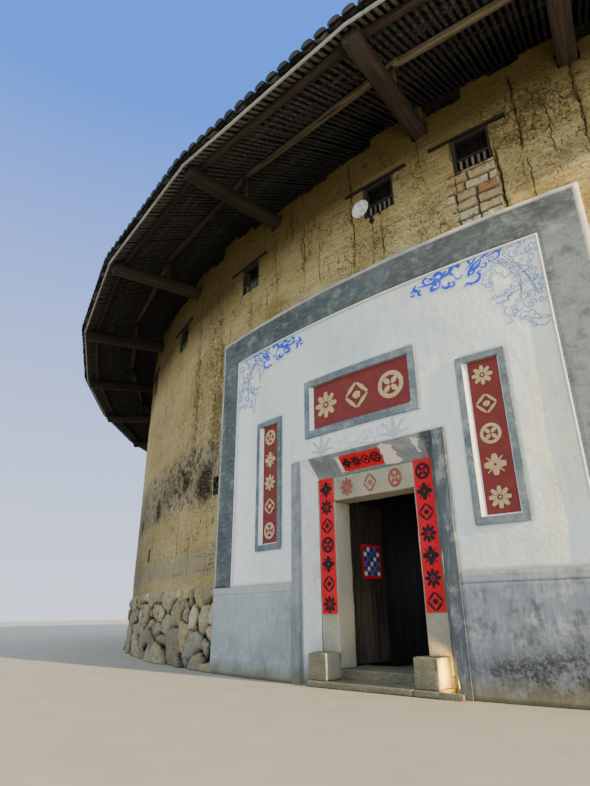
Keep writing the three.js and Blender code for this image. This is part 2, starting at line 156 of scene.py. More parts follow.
def ringPoints(s, z, radius):
    angle = s / wall["radius"]
    return np.stack([radius * np.sin(angle), -radius * np.cos(angle), z + 0 * s], axis=-1)


def underRoof(r):
    return roof["ridgeUnder"] - roof["slope"] * np.abs(r - roof["ridge"])


def beamAngleList():
    measured = beams["measured"]
    bay = (360 - (measured[0] - measured[-1])) / beams["equalBays"]
    return measured[::-1] + [measured[0] + bay * i for i in range(1, beams["equalBays"])]


# What is cut through the wall: half widths, feet and heads. A window stands to one side of its bay.
wallCuts = {"window": (0.3, 7.25, 7.92), "beam": (0.155, 8.334, 8.64), "fromBeam": -2.45, "byGate": 6.5}
beamAngles = beamAngleList()
closedAngles = [beamAngles[-1] - 360] + beamAngles
windowAngles = [wallCuts["byGate"] if a == beams["measured"][0] else a + wallCuts["fromBeam"]
                for a in beamAngles]
quarters = {"front": closedAngles[0:10], "right": closedAngles[9:20], "back": closedAngles[19:29],
            "left": closedAngles[28:39]}
# Angle, foot, half width, height
smokeSlots = [(alongWall(a) - half, alongWall(a) + half, low, low + tall)
              for a, low, half, tall in ((-10.7, 3.12, 0.1, 0.34), (-22.0, 2.15, 0.065, 0.28))]


def wallHoles():
    # From and to along the wall, foot and head of each
    found = []
    for angles, (half, low, high) in ((windowAngles, wallCuts["window"]), (beamAngles, wallCuts["beam"])):
        found += [(alongWall(a) - half, alongWall(a) + half, low, high) for a in angles]
    return found + smokeSlots


def sideSectors():
    # Name, from and to along the wall of each sector but the front one, below 0 left of the gate
    reach, start = alongWall((360 - 2 * wall["frontHalf"]) / 4), alongWall(wall["frontHalf"])
    whole = alongWall(360)
    for k, name in enumerate(("right_front", "right_back", "left_back", "left_front")):
        back = whole if start + reach * k > whole / 2 - 1 else 0
        yield name, start + reach * k - back, start + reach * (k + 1) - back


# Meshes and pieces

def buildMesh(name, points, faces, smooth=False, values=None, vectors=None, slots=None):
    mesh = bpy.data.meshes.new(name)
    mesh.from_pydata((np.asarray(points, float) * modelScale).tolist(), [], faces)
    flat = np.zeros(len(mesh.polygons), bool)
    mesh.polygons.foreach_set("use_smooth", flat | np.asarray(smooth, bool))
    for kind, field, given in (("FLOAT", "value", values), ("FLOAT_VECTOR", "vector", vectors)):
        for label, data in (given or {}).items():
            layer = mesh.attributes.new(label, kind, "POINT").data
            layer.foreach_set(field, np.asarray(data, np.float32).ravel())
    if slots is not None:
        mesh.polygons.foreach_set("material_index", np.asarray(slots, np.int32))
    mesh.update()
    return mesh


def makePiece(name, mesh, materials, replaces=(), body="building"):
    piece = bpy.data.objects.new(name, mesh)
    bpy.context.scene.collection.objects.link(piece)
    if mesh.materials:      # clearing would put every face back on the first material
        mesh.materials.clear()
    for material in materials if isinstance(materials, list) else [materials]:
        mesh.materials.append(material)
    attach(piece, body)
    if replaces:
        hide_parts(*replaces)


def gridLines(spans, fixed=()):
    # spans: (from, to, widest step); the lines pass through every fixed value
    lines = [spans[0][0]]
    for low, high, step in spans:
        marks = [low] + sorted({f for f in fixed if low + 1e-4 < f < high - 1e-4}) + [high]
        for a, b in zip(marks, marks[1:]):
            count = max(1, math.ceil((b - a) / step - 1e-6))
            lines += [a + (b - a) * k / count for k in range(1, count + 1)]
    return np.array(lines)


def inHole(s, z, holes):
    hit = np.zeros(s.shape, bool)
    for s0, s1, z0, z1 in holes:
        hit |= (s > s0) & (s < s1) & (z > z0) & (z < z1)
    return hit


def sheet(lines, levels, holes, surface, depth, finishAt=None):
    # A curved slab front: surface(s, z) gives points and values, and its open edges run back by depth
    s, z = np.meshgrid(lines, levels, indexing="ij")
    ns, nz = s.shape
    midS = (lines[:-1, None] + lines[None, 1:].T) / 2 + 0 * levels[None, :-1]
    midZ = (levels[None, :-1] + levels[None, 1:]) / 2 + 0 * lines[:-1, None]
    keep = ~inHole(midS, midZ, holes)
    at = np.arange(ns * nz).reshape(ns, nz)
    a, b, c, d = at[:-1, :-1], at[1:, :-1], at[1:, 1:], at[:-1, 1:]
    fronts = np.stack([a[keep], b[keep], c[keep], d[keep]], axis=1)
    padded = np.pad(keep, 1)
    edges = []
    for p, q, beside in ((a, b, padded[1:-1, :-2]), (b, c, padded[2:, 1:-1]),
                         (c, d, padded[1:-1, 2:]), (d, a, padded[:-2, 1:-1])):
        border = keep & ~beside
        edges.append(np.stack([p[border], q[border]], axis=1))
    edges = np.concatenate(edges)
    points, values = surface(s, z)
    points = points.reshape(-1, 3)
    rim = np.unique(edges)
    backOf = np.full(ns * nz, -1)
    backOf[rim] = ns * nz + np.arange(len(rim))
    behind = points[rim].copy()
    size = np.hypot(behind[:, 0], behind[:, 1])
    behind[:, :2] *= ((size - depth) / size)[:, None]
    skirt = np.stack([edges[:, 1], edges[:, 0], backOf[edges[:, 0]], backOf[edges[:, 1]]], axis=1)
    faces = np.concatenate([fronts, skirt])
    points = np.concatenate([points, behind])
    used, renamed = np.unique(faces, return_inverse=True)
    faces = renamed.reshape(faces.shape).tolist()
    values = {k: np.concatenate([v.ravel(), v.ravel()[rim]])[used] for k, v in values.items()}
    smooth = np.arange(len(faces)) < len(fronts)
    slots = np.zeros(len(faces), int)
    if finishAt:
        slots[:len(fronts)] = finishAt(midS, midZ)[keep]
    return {"points": points[used], "faces": faces, "smooth": smooth, "values": values, "slots": slots}


def joined(parts):
    # Several sheets or bare meshes as one
    faces, total = [], 0
    for part in parts:
        faces += [[i + total for i in face] for face in part["faces"]]
        total += len(part["points"])
    whole = {k: np.concatenate([part[k] for part in parts]) for k in ("points", "smooth", "slots")}
    values = {k: np.concatenate([part["values"].get(k, np.zeros(len(part["points"]))) for part in parts])
              for k in sorted({k for part in parts for k in part["values"]})}
    return {**whole, "faces": faces, "values": values}


def sheetPiece(name, part, materials, replaces=()):
    mesh = buildMesh(name, part["points"], part["faces"], part["smooth"], part["values"],
                     slots=part["slots"])
    makePiece(name, mesh, materials, replaces)


def sectorSheets(name, low, high, settings, rows, surface, heights=(), marks=(), cuts=()):
    # "fine" gives where the end that shows from the front stops, and its steps along and up
    spans = [(low, high, *settings["coarse"])]
    if name in settings["fine"]:
        stop, *steps = settings["fine"][name]
        near, far = ((stop, high), (low, stop)) if stop < 0 else ((low, stop), (stop, high))
        spans = [(*near, *steps), (*far, *settings["coarse"])]
    return [sheet(gridLines([(start, end, step)], marks), gridLines([(*rows, rise)], heights), cuts,
                  surface, settings["skirt"]) for start, end, step, rise in spans]


# How a CAD solid gives way to the sheet before it. Its smoke slots are drawn black from slotBehind
# inwards, as painted shade.
giveWay = {"outerBand": 0.4, "crestBand": 0.05, "crestDrop": 0.25, "slotMargin": 0.01, "slotBehind": 0.1}


def cadCopy(node, reach):
    # The node's own faces in real metres, with its outer face set back by reach
    g, mesh = giveWay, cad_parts[node].data
    points = np.array([v.co for v in mesh.vertices]) / modelScale
    radius = np.hypot(points[:, 0], points[:, 1])
    outer = radius > wall["radius"] - g["outerBand"]
    points[outer, :2] *= ((radius[outer] - reach) / radius[outer])[:, None]
    points[outer & (points[:, 2] > wall["top"] - g["crestBand"]), 2] -= g["crestDrop"]
    mesh.calc_loop_triangles()
    faces = np.array([t.vertices[:] for t in mesh.loop_triangles])
    x, y, z = points[faces].mean(axis=1).T
    wide = g["slotMargin"]
    slots = [(s0 - wide, s1 + wide, z0 - wide, z1 + wide) for s0, s1, z0, z1 in smokeSlots]
    paintedShade = inHole(np.arctan2(x, -y) * wall["radius"], z, slots)
    paintedShade &= np.hypot(x, y) < wall["radius"] - reach - g["slotBehind"]
    return {"points": points, "faces": faces.tolist(), "smooth": np.zeros(len(faces), bool), "values": {},
            "slots": paintedShade.astype(int)}


class Shapes:
    # Gathers small shapes into one mesh, with the grain direction and a tone at each point
    def __init__(self):
        self.points, self.faces, self.grain, self.tone, self.smooth, self.slots = [], [], [], [], [], []
        self.total = 0

    def add(self, points, faces, grain=None, tone=0.5, smooth=False, slot=0):
        points = np.asarray(points, float)
        self.points.append(points)
        self.faces += [[i + self.total for i in face] for face in faces]
        self.grain.append(points if grain is None else np.asarray(grain, float))
        self.tone.append(np.zeros(len(points)) + tone)
        self.smooth += [smooth] * len(faces)
        self.slots += [slot] * len(faces)
        self.total += len(points)

    def mesh(self, name):
        values, vectors = {"tone": np.concatenate(self.tone)}, {"grain": np.concatenate(self.grain)}
        points = np.concatenate(self.points)
        return buildMesh(name, points, self.faces, self.smooth, values, vectors, self.slots)

    def piece(self, name, materials, slot, replaces=(), body="building"):
        makePiece(name, self.mesh(name), materials, replaces, body)


def boxShape(low, high, bevel=0.006):
    # A box with chamfered edges; its grain runs along its longest side
    low, high = np.array(low, float), np.array(high, float)
    work = bmesh.new()
    bmesh.ops.create_cube(work, size=1)
    for v in work.verts:
        v.co = Vector(low + (high - low) * (np.array(v.co) + 0.5))
    bmesh.ops.bevel(work, geom=work.edges[:], offset=bevel, segments=1, affect="EDGES")
    work.verts.index_update()
    points = np.array([v.co[:] for v in work.verts])
    faces = [[v.index for v in f.verts] for f in work.faces]
    work.free()
    order = np.argsort(low - high, kind="stable")
    return {"points": points, "faces": faces, "grain": points[:, order]}


def logShape(start, end, radius, sides=10, rings=10, seed=1, squareness=0.0, wander=0.012):
    # A trunk from start to end. radius is (start, end); squareness is 0 for round and 1 for hewn square.
    rng = np.random.default_rng(seed)
    start, end = np.array(start, float), np.array(end, float)
    axis = end - start
    length = np.linalg.norm(axis)
    axis /= length
    side = np.cross(axis, [0, 0, 1])
    side /= np.linalg.norm(side)
    up = np.cross(side, axis)
    t = np.linspace(0, 1, rings + 1)[:, None]
    a = np.linspace(0, 2 * math.pi, sides, endpoint=False)[None, :]
    lumps = 1 + 0.05 * np.sin(2 * a + 5 * t + seed) + 0.03 * rng.standard_normal((rings + 1, sides))
    square = 1 / np.maximum(np.abs(np.cos(a)), np.abs(np.sin(a))) ** (squareness * (0.75 + 0.25 * t))
    size = (radius[0] + (radius[1] - radius[0]) * t) * lumps * square
    bend = wander * np.sin(math.pi * t) * math.sin(seed * 2.1)
    lift = wander * np.sin(math.pi * t) * math.cos(seed * 1.3) * 0.5
    u, v = np.cos(a) * size + bend, np.sin(a) * size + lift
    points = start + axis * (t * length)[..., None] + side * u[..., None] + up * v[..., None]
    grain = np.stack([t * length + 0 * a + seed * 3.7, u, v], axis=-1)
    faces = [[i + sides + j, i + sides + (j + 1) % sides, i + (j + 1) % sides, i + j]
             for i in range(0, rings * sides, sides) for j in range(sides)]
    faces.append(list(range(sides)))
    faces.append([rings * sides + j for j in range(sides)][::-1])
    return {"points": points.reshape(-1, 3), "faces": faces, "grain": grain.reshape(-1, 3)}


# Geometry Nodes: one template set on points that carry a turn and a stretch

def repeatTree():
    tree = bpy.data.node_groups.new("repeatRoundRing", "GeometryNodeTree")
    for label, kind in (("Points", "Geometry"), ("Template", "Object"), ("Size", "Float"),
                        ("Sway", "Float"), ("Seed", "Int"), ("Finish", "Material")):
        tree.interface.new_socket(label, in_out="INPUT", socket_type="NodeSocket" + kind)
    tree.interface.new_socket("Pieces", in_out="OUTPUT", socket_type="NodeSocketGeometry")
    add = partial(addNode, tree)
    enter = add("NodeGroupInput", out="all")
    turn, stretch = [add("GeometryNodeInputNamedAttribute", {"Name": label}, data_type="FLOAT_VECTOR")
                     for label in ("turn", "stretch")]
    sway = add("FunctionNodeRandomValue", {0: (-1, -1, -1), 1: (1, 1, 1), "Seed": enter["Seed"]},
               data_type="FLOAT_VECTOR")
    angle = add("shift", turn, add("scale", sway, enter["Sway"]))
    template = add("GeometryNodeObjectInfo", {"Object": enter["Template"]}, out="Geometry")
    placed = add("GeometryNodeInstanceOnPoints", {
        "Points": enter["Points"], "Instance": template, "Rotation": angle,
        "Scale": add("scale", stretch, enter["Size"])})
    tone = add("FunctionNodeRandomValue", {"Seed": enter["Seed"]}, data_type="FLOAT", out=1)
    toned = add("GeometryNodeStoreNamedAttribute", {"Geometry": placed, "Name": "tone", "Value": tone},
                data_type="FLOAT", domain="INSTANCE")
    real = add("GeometryNodeRealizeInstances", {"Geometry": toned})
    done = add("GeometryNodeSetMaterial", {"Geometry": real, "Material": enter["Finish"]})
    add("NodeGroupOutput", {"Pieces": done}, out="all")
    return tree


ringRepeat = repeatTree()


def repeated(name, template, turns, material, stretches=None, sway=0.0, seed=1):
    # turns are degrees round the ring; the template stands at the gate, already at the model's scale
    count = len(turns)
    stretches = np.ones(count) if stretches is None else np.asarray(stretches)
    level = np.zeros(count)
    mesh = buildMesh(name, np.zeros((count, 3)), [], vectors={
        "turn": np.stack([level, level, np.radians(turns)], axis=1),
        "stretch": np.stack([stretches, stretches, np.ones(count)], axis=1)})
    scene = bpy.context.scene.collection
    pattern = bpy.data.objects.new(name + "Template", template)
    carrier = bpy.data.objects.new(name + "Carrier", mesh)
    scene.objects.link(pattern)
    scene.objects.link(carrier)
    modifier = carrier.modifiers.new("repeat", "NODES")
    modifier.node_group = ringRepeat
    sockets = {item.name: item.identifier for item in ringRepeat.interface.items_tree
               if item.in_out == "INPUT"}
    given = {"Template": pattern, "Size": 1.0, "Sway": sway, "Seed": seed, "Finish": material}
    for label, value in given.items():
        modifier[sockets[label]] = value
    carrier.update_tag()
    graph = bpy.context.evaluated_depsgraph_get()
    result = bpy.data.meshes.new_from_object(carrier.evaluated_get(graph))
    carrier.modifiers.clear()
    bpy.data.objects.remove(carrier)
    bpy.data.objects.remove(pattern)
    result.name = name
    makePiece(name, result, material)


# Materials. Patterns read Object coordinates, doubled to real metres, or go round the ring.

def startMaterial(name, roughness, specular=0.5):
    material = bpy.data.materials.new(name)
    material.use_nodes = True
    shader = material.node_tree.nodes["Principled BSDF"]
    shader.inputs["Roughness"].default_value = roughness
    shader.inputs["Specular IOR Level"].default_value = specular
    return material, partial(addNode, material.node_tree), shader


def finishMaterial(material, add, shader, body, heights):
    # heights: (socket, depth in real metres), the coarsest first
    normal = None
    for height, depth in heights:
        normal = add("bump", height, depth * modelScale, normal)
    material.node_tree.links.new(body, shader.inputs["Base Color"])
    material.node_tree.links.new(normal, shader.inputs["Normal"])
    return material


def realPosition(add):
    return add("scale", add("place"), 1 / modelScale)


def ringPosition(add, stretch=(1.0, 1.0, 1.0)):
    # (metres along the wall, height, distance from the middle), each stretched
    x, y, z = add("split", realPosition(add), out="all")
    angle = add("arctan2", x, add("multiply", y, -1.0))
    whole = add("join", add("multiply", angle, wall["radius"]), z, add("length", add("join", x, y)))
    return add("stretch", whole, stretch)


# Rammed earth, tamped in lifts: yellow ochre with straw-fine streaks, upright cracks and crumbled places
def rammedEarth():
    material, add, shader = startMaterial("rammedEarth", 0.95, 0.1)
    ring = ringPosition(add)
    x, z = add("split", ring, out="all")[:2]
    worn = add("value", attribute_name="worn")
    body = add("ramp", add("noise", ring, 0.8, 7, 0.65), stops=(
        (0.3, "#98854f"), (0.45, "#bba872"), (0.58, "#d2bf8a"), (0.72, "#e0cf9f")))
    streaks = add("noise", ringPosition(add, (1.2, 16.0, 1.2)), 1.8, 5, 0.65)
    grit = add("noise", ring, 34.0, 4, 0.75)
    # Grey and weathered lifts among the yellow ones, left of the gate
    greyed = add("range", x, -3.0, -4.2, 0, 0.4)
    level = add("add", z, add("multiply", add("subtract", add("noise", ring, 2.2, 7, 0.7), 0.5), 0.6))
    upper = add("multiply", add("range", level, 2.95, 3.3), add("range", level, 4.4, 4.0))
    lower = add("multiply", add("range", level, 1.55, 1.75), add("range", level, 2.2, 1.95))
    weathered = add("multiply", add("maximum", upper, lower), add("range", x, -3.2, -3.7, 0, 0.8))
    patchy = add("range", add("noise", ring, 9.0, 5, 0.75), 0.35, 0.55, 0.35, 1.0)
    weathered = add("multiply", weathered, patchy)
    # Painted shade: darker and greyer low on the wall towards its left end
    paintedLeftShade = add("multiply", add("range", x, -6.0, -9.0, 0, 0.5), add("range", z, 4.5, 3.5))
    # Painted shade under the eave, reaching further down on the left
    high = add("range", add("subtract", z, add("range", x, -4.5, 3.5, -0.3, 0.45)), 6.9, 7.95, 0, 0.97)
    for where, shade in (
            (add("range", streaks, 0.45, 0.7, 0, 0.62), "#887343"),
            (add("range", grit, 0.5, 0.68, 0, 0.35), "#655230"),
            (add("range", grit, 0.45, 0.3, 0, 0.35), "#e6d4a2"),
            (greyed, "#cbb07c"), (weathered, "#a59d85"), (paintedLeftShade, "#6a6250"), (high, "#594d29")):
        body = add("mix", where, body, shade)
    brick = add("value", attribute_name="brick")
    fired = add("ramp", brick, stops=(
        (0.1, "#ded6ba"), (0.35, "#d6c698"), (0.6, "#c2ae84"), (0.8, "#bb8b60"), (1.0, "#ae6d4e")))
    fired = add("mix", add("range", grit, 0.45, 0.65, 0, 0.28), fired, "#75613f")
    body = add("mix", add("greater_than", brick, 0.02), body, fired)
    # Upright shrinkage cracks, and a web of finer ones in the broken places
    wander = add("noise", ringPosition(add, (0.6, 2.5, 1.0)), 1.0, 5, 0.7)
    upright = add("lines", add("add", x, add("multiply", wander, 0.18)), 2.3)
    seen = add("range", add("noise", ringPosition(add, (2.4, 0.9, 1.0)), 1.0, 2), 0.53, 0.58)
    crack = add("multiply", add("range", upright, 0.024, 0.01), seen)
    # The long cracks, whose distance and half width the piece carries
    wide = add("value", attribute_name="crackWide")
    frayed = add("multiply", add("subtract", add("noise", ring, 24.0, 3), 0.5), 0.03)
    away = add("add", add("value", attribute_name="crackAway"), frayed)
    long = add("range", add("divide", add("absolute", away), wide), 1.1, 0.7)
    crack = add("maximum", crack, add("multiply", long, add("greater_than", wide, 0.001)))
    bent = ring
    for size, sway in ((3.0, 0.16), (14.0, 0.07)):
        bent = add("shift", bent, add("scale", add("drift", ring, size), sway))
    web = add("range", add("seams", add("stretch", bent, (1.5, 0.6, 1.0)), 4.5), 0.028, 0.008)
    cracked = add("range", add("noise", ring, 2.2, 3), 0.55, 0.6, 0, 0.85)
    web = add("multiply", web, add("maximum", cracked, add("range", worn, 0.35, 0.7)))
    clods = add("seams", bent, 13.0)
    broken = add("multiply", add("range", worn, 0.2, 0.7, 0, 0.7),
                 add("range", add("noise", ring, 8.0), 0.48, 0.6))
    gap = add("multiply", add("range", clods, 0.12, 0.02), broken)
    specks = add("multiply", add("range", add("noise", ring, 20.0, 5, 0.75), 0.56, 0.62),
                 add("range", worn, 0.0, 0.5, 0.12, 1.0))
    # Painted shade in the recesses: cracks, pits, joints, crumbled gaps and specks are drawn dark
    dark = add("value", attribute_name="pit")
    for mark in (crack, web, gap, specks):
        dark = add("maximum", dark, mark)
    body = add("mix", add("multiply", dark, 0.88), body, "#2a2214")
    # Soot round its marks, with painted shade inside the smoke slots
    soot = add("multiply", add("value", attribute_name="soot"), add("range", grit, 0.4, 0.52, 0.3, 1.0))
    body = add("mix", soot, body, "#12100d")
    return finishMaterial(material, add, shader, body, (
        (add("noise", ring, 5.0, 6, 0.65), 0.045), (add("range", clods, 0.0, 0.3), 0.012),
        (streaks, 0.05), (grit, 0.025), (add("subtract", 1.0, dark), 0.03)))


# Field stones bedded in clay: rough and rounded, grey to tan, each its own tone, with dark earthy joints
def fieldStone():
    material, add, shader = startMaterial("fieldStone", 0.85, 0.25)
    ring = ringPosition(add)
    body = add("ramp", add("value", attribute_name="stone"), stops=(
        (0.0, "#7d7663"), (0.25, "#a99b78"), (0.5, "#b9a87f"), (0.7, "#999588"), (0.85, "#b2a98c"),
        (1.0, "#cfc4a2")))
    for where, shade in (
            (add("range", add("noise", ring, 9.0, 6, 0.65), 0.35, 0.7, 0, 0.6), "#645b45"),
            (add("range", add("noise", ring, 22.0, 4, 0.7), 0.62, 0.68, 0, 0.5), "#d2cdbb"),
            (add("range", add("noise", ring, 16.0, 5, 0.75), 0.42, 0.36, 0, 0.6), "#433b2b"),
            (add("range", add("value", attribute_name="pit"), 0.15, 0.6), "#17130c")):
        body = add("mix", where, body, shade)
    return finishMaterial(material, add, shader, body, (
        (add("noise", ring, 7.0, 5, 0.6), 0.07), (add("noise", ring, 22.0, 6, 0.7), 0.035)))


# Limewash on earth plaster: chalky off-white, rain-washed, with hairline cracks and rusty stains
def limewash():
    material, add, shader = startMaterial("limewash", 0.9, 0.15)
    ring = ringPosition(add)
    x = add("split", ring)
    body = add("ramp", add("noise", ring, 0.9, 6, 0.6), stops=(
        (0.3, "#c6d2ce"), (0.5, "#d6ded7"), (0.7, "#e2e2d3")))
    runs = add("noise", ringPosition(add, (5.0, 0.5, 1.0)), 1.5, 5, 0.6)
    # Painted warm light in streaky patches towards the right
    paintedWarmLight = add("multiply", add("range", x, 1.3, 3.0, 0, 0.5), add("range", runs, 0.4, 0.6))
    bent = add("shift", ring, add("scale", add("drift", ring, 2.0), 0.5))
    hair = add("multiply", add("range", add("seams", bent, 1.1), 0.006, 0.001),
               add("range", add("noise", ring, 0.8, 2), 0.52, 0.58, 0, 0.5))
    for where, shade in (
            (add("range", runs, 0.5, 0.75, 0, 0.35), "#b0b8ae"),
            (add("range", add("noise", ring, 2.2, 7, 0.7), 0.5, 0.7, 0, 0.3), "#b9c3bf"),
            (paintedWarmLight, "#d9cfa9"),
            # Painted light: whiter towards the panel's left end
            (add("range", x, -2.2, -2.7, 0, 0.6), "#f0f3ec"),
            (add("range", add("noise", ring, 2.6, 6, 0.7), 0.62, 0.75, 0, 0.35), "#b39f76"),
            (hair, "#7e7c70")):
        body = add("mix", where, body, shade)
    return finishMaterial(material, add, shader, body, (
        (add("noise", ring, 2.4, 7, 0.62), 0.035), (add("noise", ring, 30.0), 0.003)))


# Grey lime render, brushed on: cloudy slate with pale smudges, brush streaks, damp feet and black mould
def brushedRender(name, stretch, low, high, streak, zones=(), mould=0.0):
    # zones: from, full, to full, to, in metres along the wall, with the colour there and how much of it
    material, add, shader = startMaterial(name, 0.82, 0.25)
    ring = ringPosition(add)
    x, z = add("split", ring, out="all")[:2]
    body = add("mix", add("range", add("noise", ring, 1.4, 6, 0.65), 0.35, 0.68), low, high)
    for start, full, hold, end, shade, share in zones:
        here = add("multiply", add("range", x, start, full), add("range", x, end, hold, 0, share))
        # A zone's colour fades out between 5.4 and 5.9 m up, so that painted light stops at the eave's
        # shadow
        body = add("mix", add("multiply", here, add("range", z, 5.9, 5.4)), body, shade)
    spots = add("range", add("noise", ring, 3.2, 7, 0.75), 0.5, 0.6, 0, mould)
    strokes = add("noise", ringPosition(add, stretch), 3.0, 6, 0.7)
    damp = add("multiply", add("range", z, 0.75, 0.1, 0, 0.6),
               add("range", add("noise", ring, 2.2, 5, 0.65), 0.4, 0.62))
    # The black climbs to the right
    climb = add("subtract", z, add("multiply", x, 0.18))
    black = add("multiply", add("range", climb, 0.24, 0.02), add("range", x, 1.2, 1.7, 0, mould * 1.45))
    black = add("multiply", black, add("range", add("noise", ring, 1.7, 9, 0.75), 0.38, 0.5))
    black = add("multiply", black, add("range", add("noise", ring, 26.0, 4, 0.7), 0.35, 0.55, 0.4, 1.0))
    for where, shade in (
            (add("range", add("noise", ring, 3.6, 7, 0.72), 0.52, 0.68, 0, 0.55), streak),
            (add("multiply", spots, add("range", x, 0.5, 1.5)), "#3f4446"),
            (add("range", strokes, 0.5, 0.72, 0, 0.4), streak),
            (add("range", strokes, 0.45, 0.3, 0, 0.35), "#4b5358"),
            (add("maximum", damp, black), "#2e2f2b"),
            (add("range", z, 0.26, 0.05, 0, 0.7), "#736d52"),
            (add("value", attribute_name="rim"), "#bfbdb0")):
        body = add("mix", where, body, shade)
    return finishMaterial(material, add, shader, body, (
        (add("noise", ring, 4.0, 5), 0.012), (strokes, 0.006)))


# Oil paint on plaster, faded: an even colour with worn, paler scuffs
def oldPaint(name, shade, wornShade, roughness=0.65):
    material, add, shader = startMaterial(name, roughness, 0.3)
    ring = ringPosition(add)
    scuffs = add("range", add("noise", ring, 5.0, 7, 0.7), 0.45, 0.75, 0, 0.55)
    return finishMaterial(material, add, shader, add("mix", scuffs, shade, wornShade), (
        (add("noise", ring, 24.0), 0.003),))


# Hand-dressed granite: grey-brown with salt-and-pepper grains and pick marks, yellowed by clay
def dressedGranite(name, low, high):
    material, add, shader = startMaterial(name, 0.85, 0.3)
    place = realPosition(add)
    x, y, z = add("split", place, out="all")
    body = add("mix", add("range", add("noise", place, 2.0, 5, 0.6), 0.35, 0.65), low, high)
    grain = add("split", add("cells", place, 110.0))
    # Painted light at the way in: the inner sides of the left jamb and the left block are paler
    jambPaintedLight = add("multiply", add("range", add("absolute", add("add", x, 0.71)), 0.03, 0.015),
                   add("range", z, 2.56, 2.54, 0, 0.4))
    blockPaintedLight = add("multiply", add("range", add("absolute", add("add", x, 0.67)), 0.03, 0.02),
                    add("range", z, 0.08, 0.1, 0, 0.5))
    for where, shade in (
            (add("range", grain, 0.75, 0.95, 0, 0.3), "#615c4b"),
            (add("range", grain, 0.25, 0.05, 0, 0.25), "#cdc8b6"),
            (add("range", add("noise", place, 4.0, 6, 0.7), 0.55, 0.75, 0, 0.35), "#7d6e47"),
            (add("multiply", jambPaintedLight, add("range", y, -20.08, -20.05)), "#cbc7b2"),
            (add("multiply", blockPaintedLight, add("range", y, -20.05, -20.08)), "#b9b4a0")):
        body = add("mix", where, body, shade)
    return finishMaterial(material, add, shader, body, (
        (add("noise", place, 8.0, 5), 0.012), (add("noise", place, 45.0, 3, 0.6), 0.008)))


# Fir timber left to weather: long grain, drying cracks, brown going to grey; reads the pieces' grain
def weatheredWood(name, low, high, crackShade="#1b130d", eaveLight=None, soot=None):
    # The setting after crackShade is painted light, its colour at the eave; the last is painted shade:
    # where along the wall it starts, where it is full, its share
    material, add, shader = startMaterial(name, 0.85, 0.2)
    grain = add("value", attribute_name="grain", out="Vector")
    long = add("noise", add("stretch", grain, (1.3, 22.0, 22.0)), 1.0, 5, 0.6)
    broad = add("noise", add("stretch", grain, (0.5, 5.0, 5.0)), 1.0, 4, 0.6)
    body = add("mix", add("range", long, 0.35, 0.68), low, high)
    body = add("mix", add("range", broad, 0.35, 0.65, 0, 0.5), body, low)
    tone = add("range", add("value", attribute_name="tone"), 0, 1, 0.5, 1.45)
    split = add("range", add("noise", add("stretch", grain, (0.9, 30.0, 30.0)), 1.0, 2, 0.5), 0.36, 0.3)
    body = add("mix", add("multiply", split, 0.8), add("scale", body, tone), crackShade)
    # Painted light: paler towards the eave's edge
    if eaveLight:
        fromMiddle = add("split", ringPosition(add), out=2)
        body = add("mix", add("range", fromMiddle, 21.8, 22.4, 0, 0.3), body, eaveLight)
    # Painted shade: darker along the wall towards the left
    if soot:
        start, full, share = soot
        paintedShade = add("range", add("split", ringPosition(add)), start, full, 0, share)
        body = add("mix", paintedShade, body, "#0c0b0a")
    return finishMaterial(material, add, shader, body, (
        (broad, 0.012), (long, 0.006), (add("subtract", 1.0, split), 0.006)))


# The same timber on whole rings and walls, which carry no grain of their own: boards by ring position
def boardedWood(name, stretch, low, high, boardWidth):
    material, add, shader = startMaterial(name, 0.85, 0.2)
    long = add("noise", ringPosition(add, stretch), 1.0, 5, 0.6)
    board = add("divide", add("split", ringPosition(add)), boardWidth)
    tone = add("chance", add("join", add("floor", board)))
    gap = add("range", add("absolute", add("subtract", add("fract", board), 0.5)), 0.46, 0.49)
    body = add("mix", add("range", long, 0.35, 0.68), low, high)
    body = add("mix", add("range", tone, 0, 1, 0, 0.6), body, low)
    return finishMaterial(material, add, shader, add("mix", gap, body, "#120d09"), (
        (add("subtract", 1.0, gap), 0.008), (long, 0.006)))


# Low-fired clay tile: matt dark grey, sooty and mossy above, dusty brown below, no two alike
def clayTile(name, shades, dust):
    material, add, shader = startMaterial(name, 0.9, 0.2)
    place = realPosition(add)
    tone, course = [add("value", attribute_name=label) for label in ("tone", "course")]
    stops = tuple((i / (len(shades) - 1), shade) for i, shade in enumerate(shades))
    body = add("ramp", add("chance", add("join", tone, course)), stops=stops)
    body = add("mix", add("range", add("noise", place, 6.0, 6, 0.7), 0.5, 0.72, 0, 0.6), body, dust)
    return finishMaterial(material, add, shader, body, (
        (add("noise", place, 14.0, 5), 0.01), (add("noise", place, 60.0, 3), 0.003)))


# Red paper pasted on stone: saturated and matt, faded in patches where the paste lifts
def pastedPaper(name, shade, faded):
    material, add, shader = startMaterial(name, 0.75, 0.25)
    place = realPosition(add)
    body = add("mix", add("range", add("noise", place, 4.0, 5, 0.6), 0.45, 0.75, 0, 0.5), shade, faded)
    return finishMaterial(material, add, shader, body, ((add("noise", place, 9.0), 0.004),))


# Pressed enamel shade: glossy white under dust
def dustyEnamel():
    material, add, shader = startMaterial("dustyEnamel", 0.35)
    place = realPosition(add)
    dust = add("range", add("noise", place, 12.0, 5, 0.6), 0.42, 0.7)
    return finishMaterial(material, add, shader, add("mix", dust, "#c6cac1", "#858576"),
                          ((add("noise", place, 30.0, 3), 0.002),))


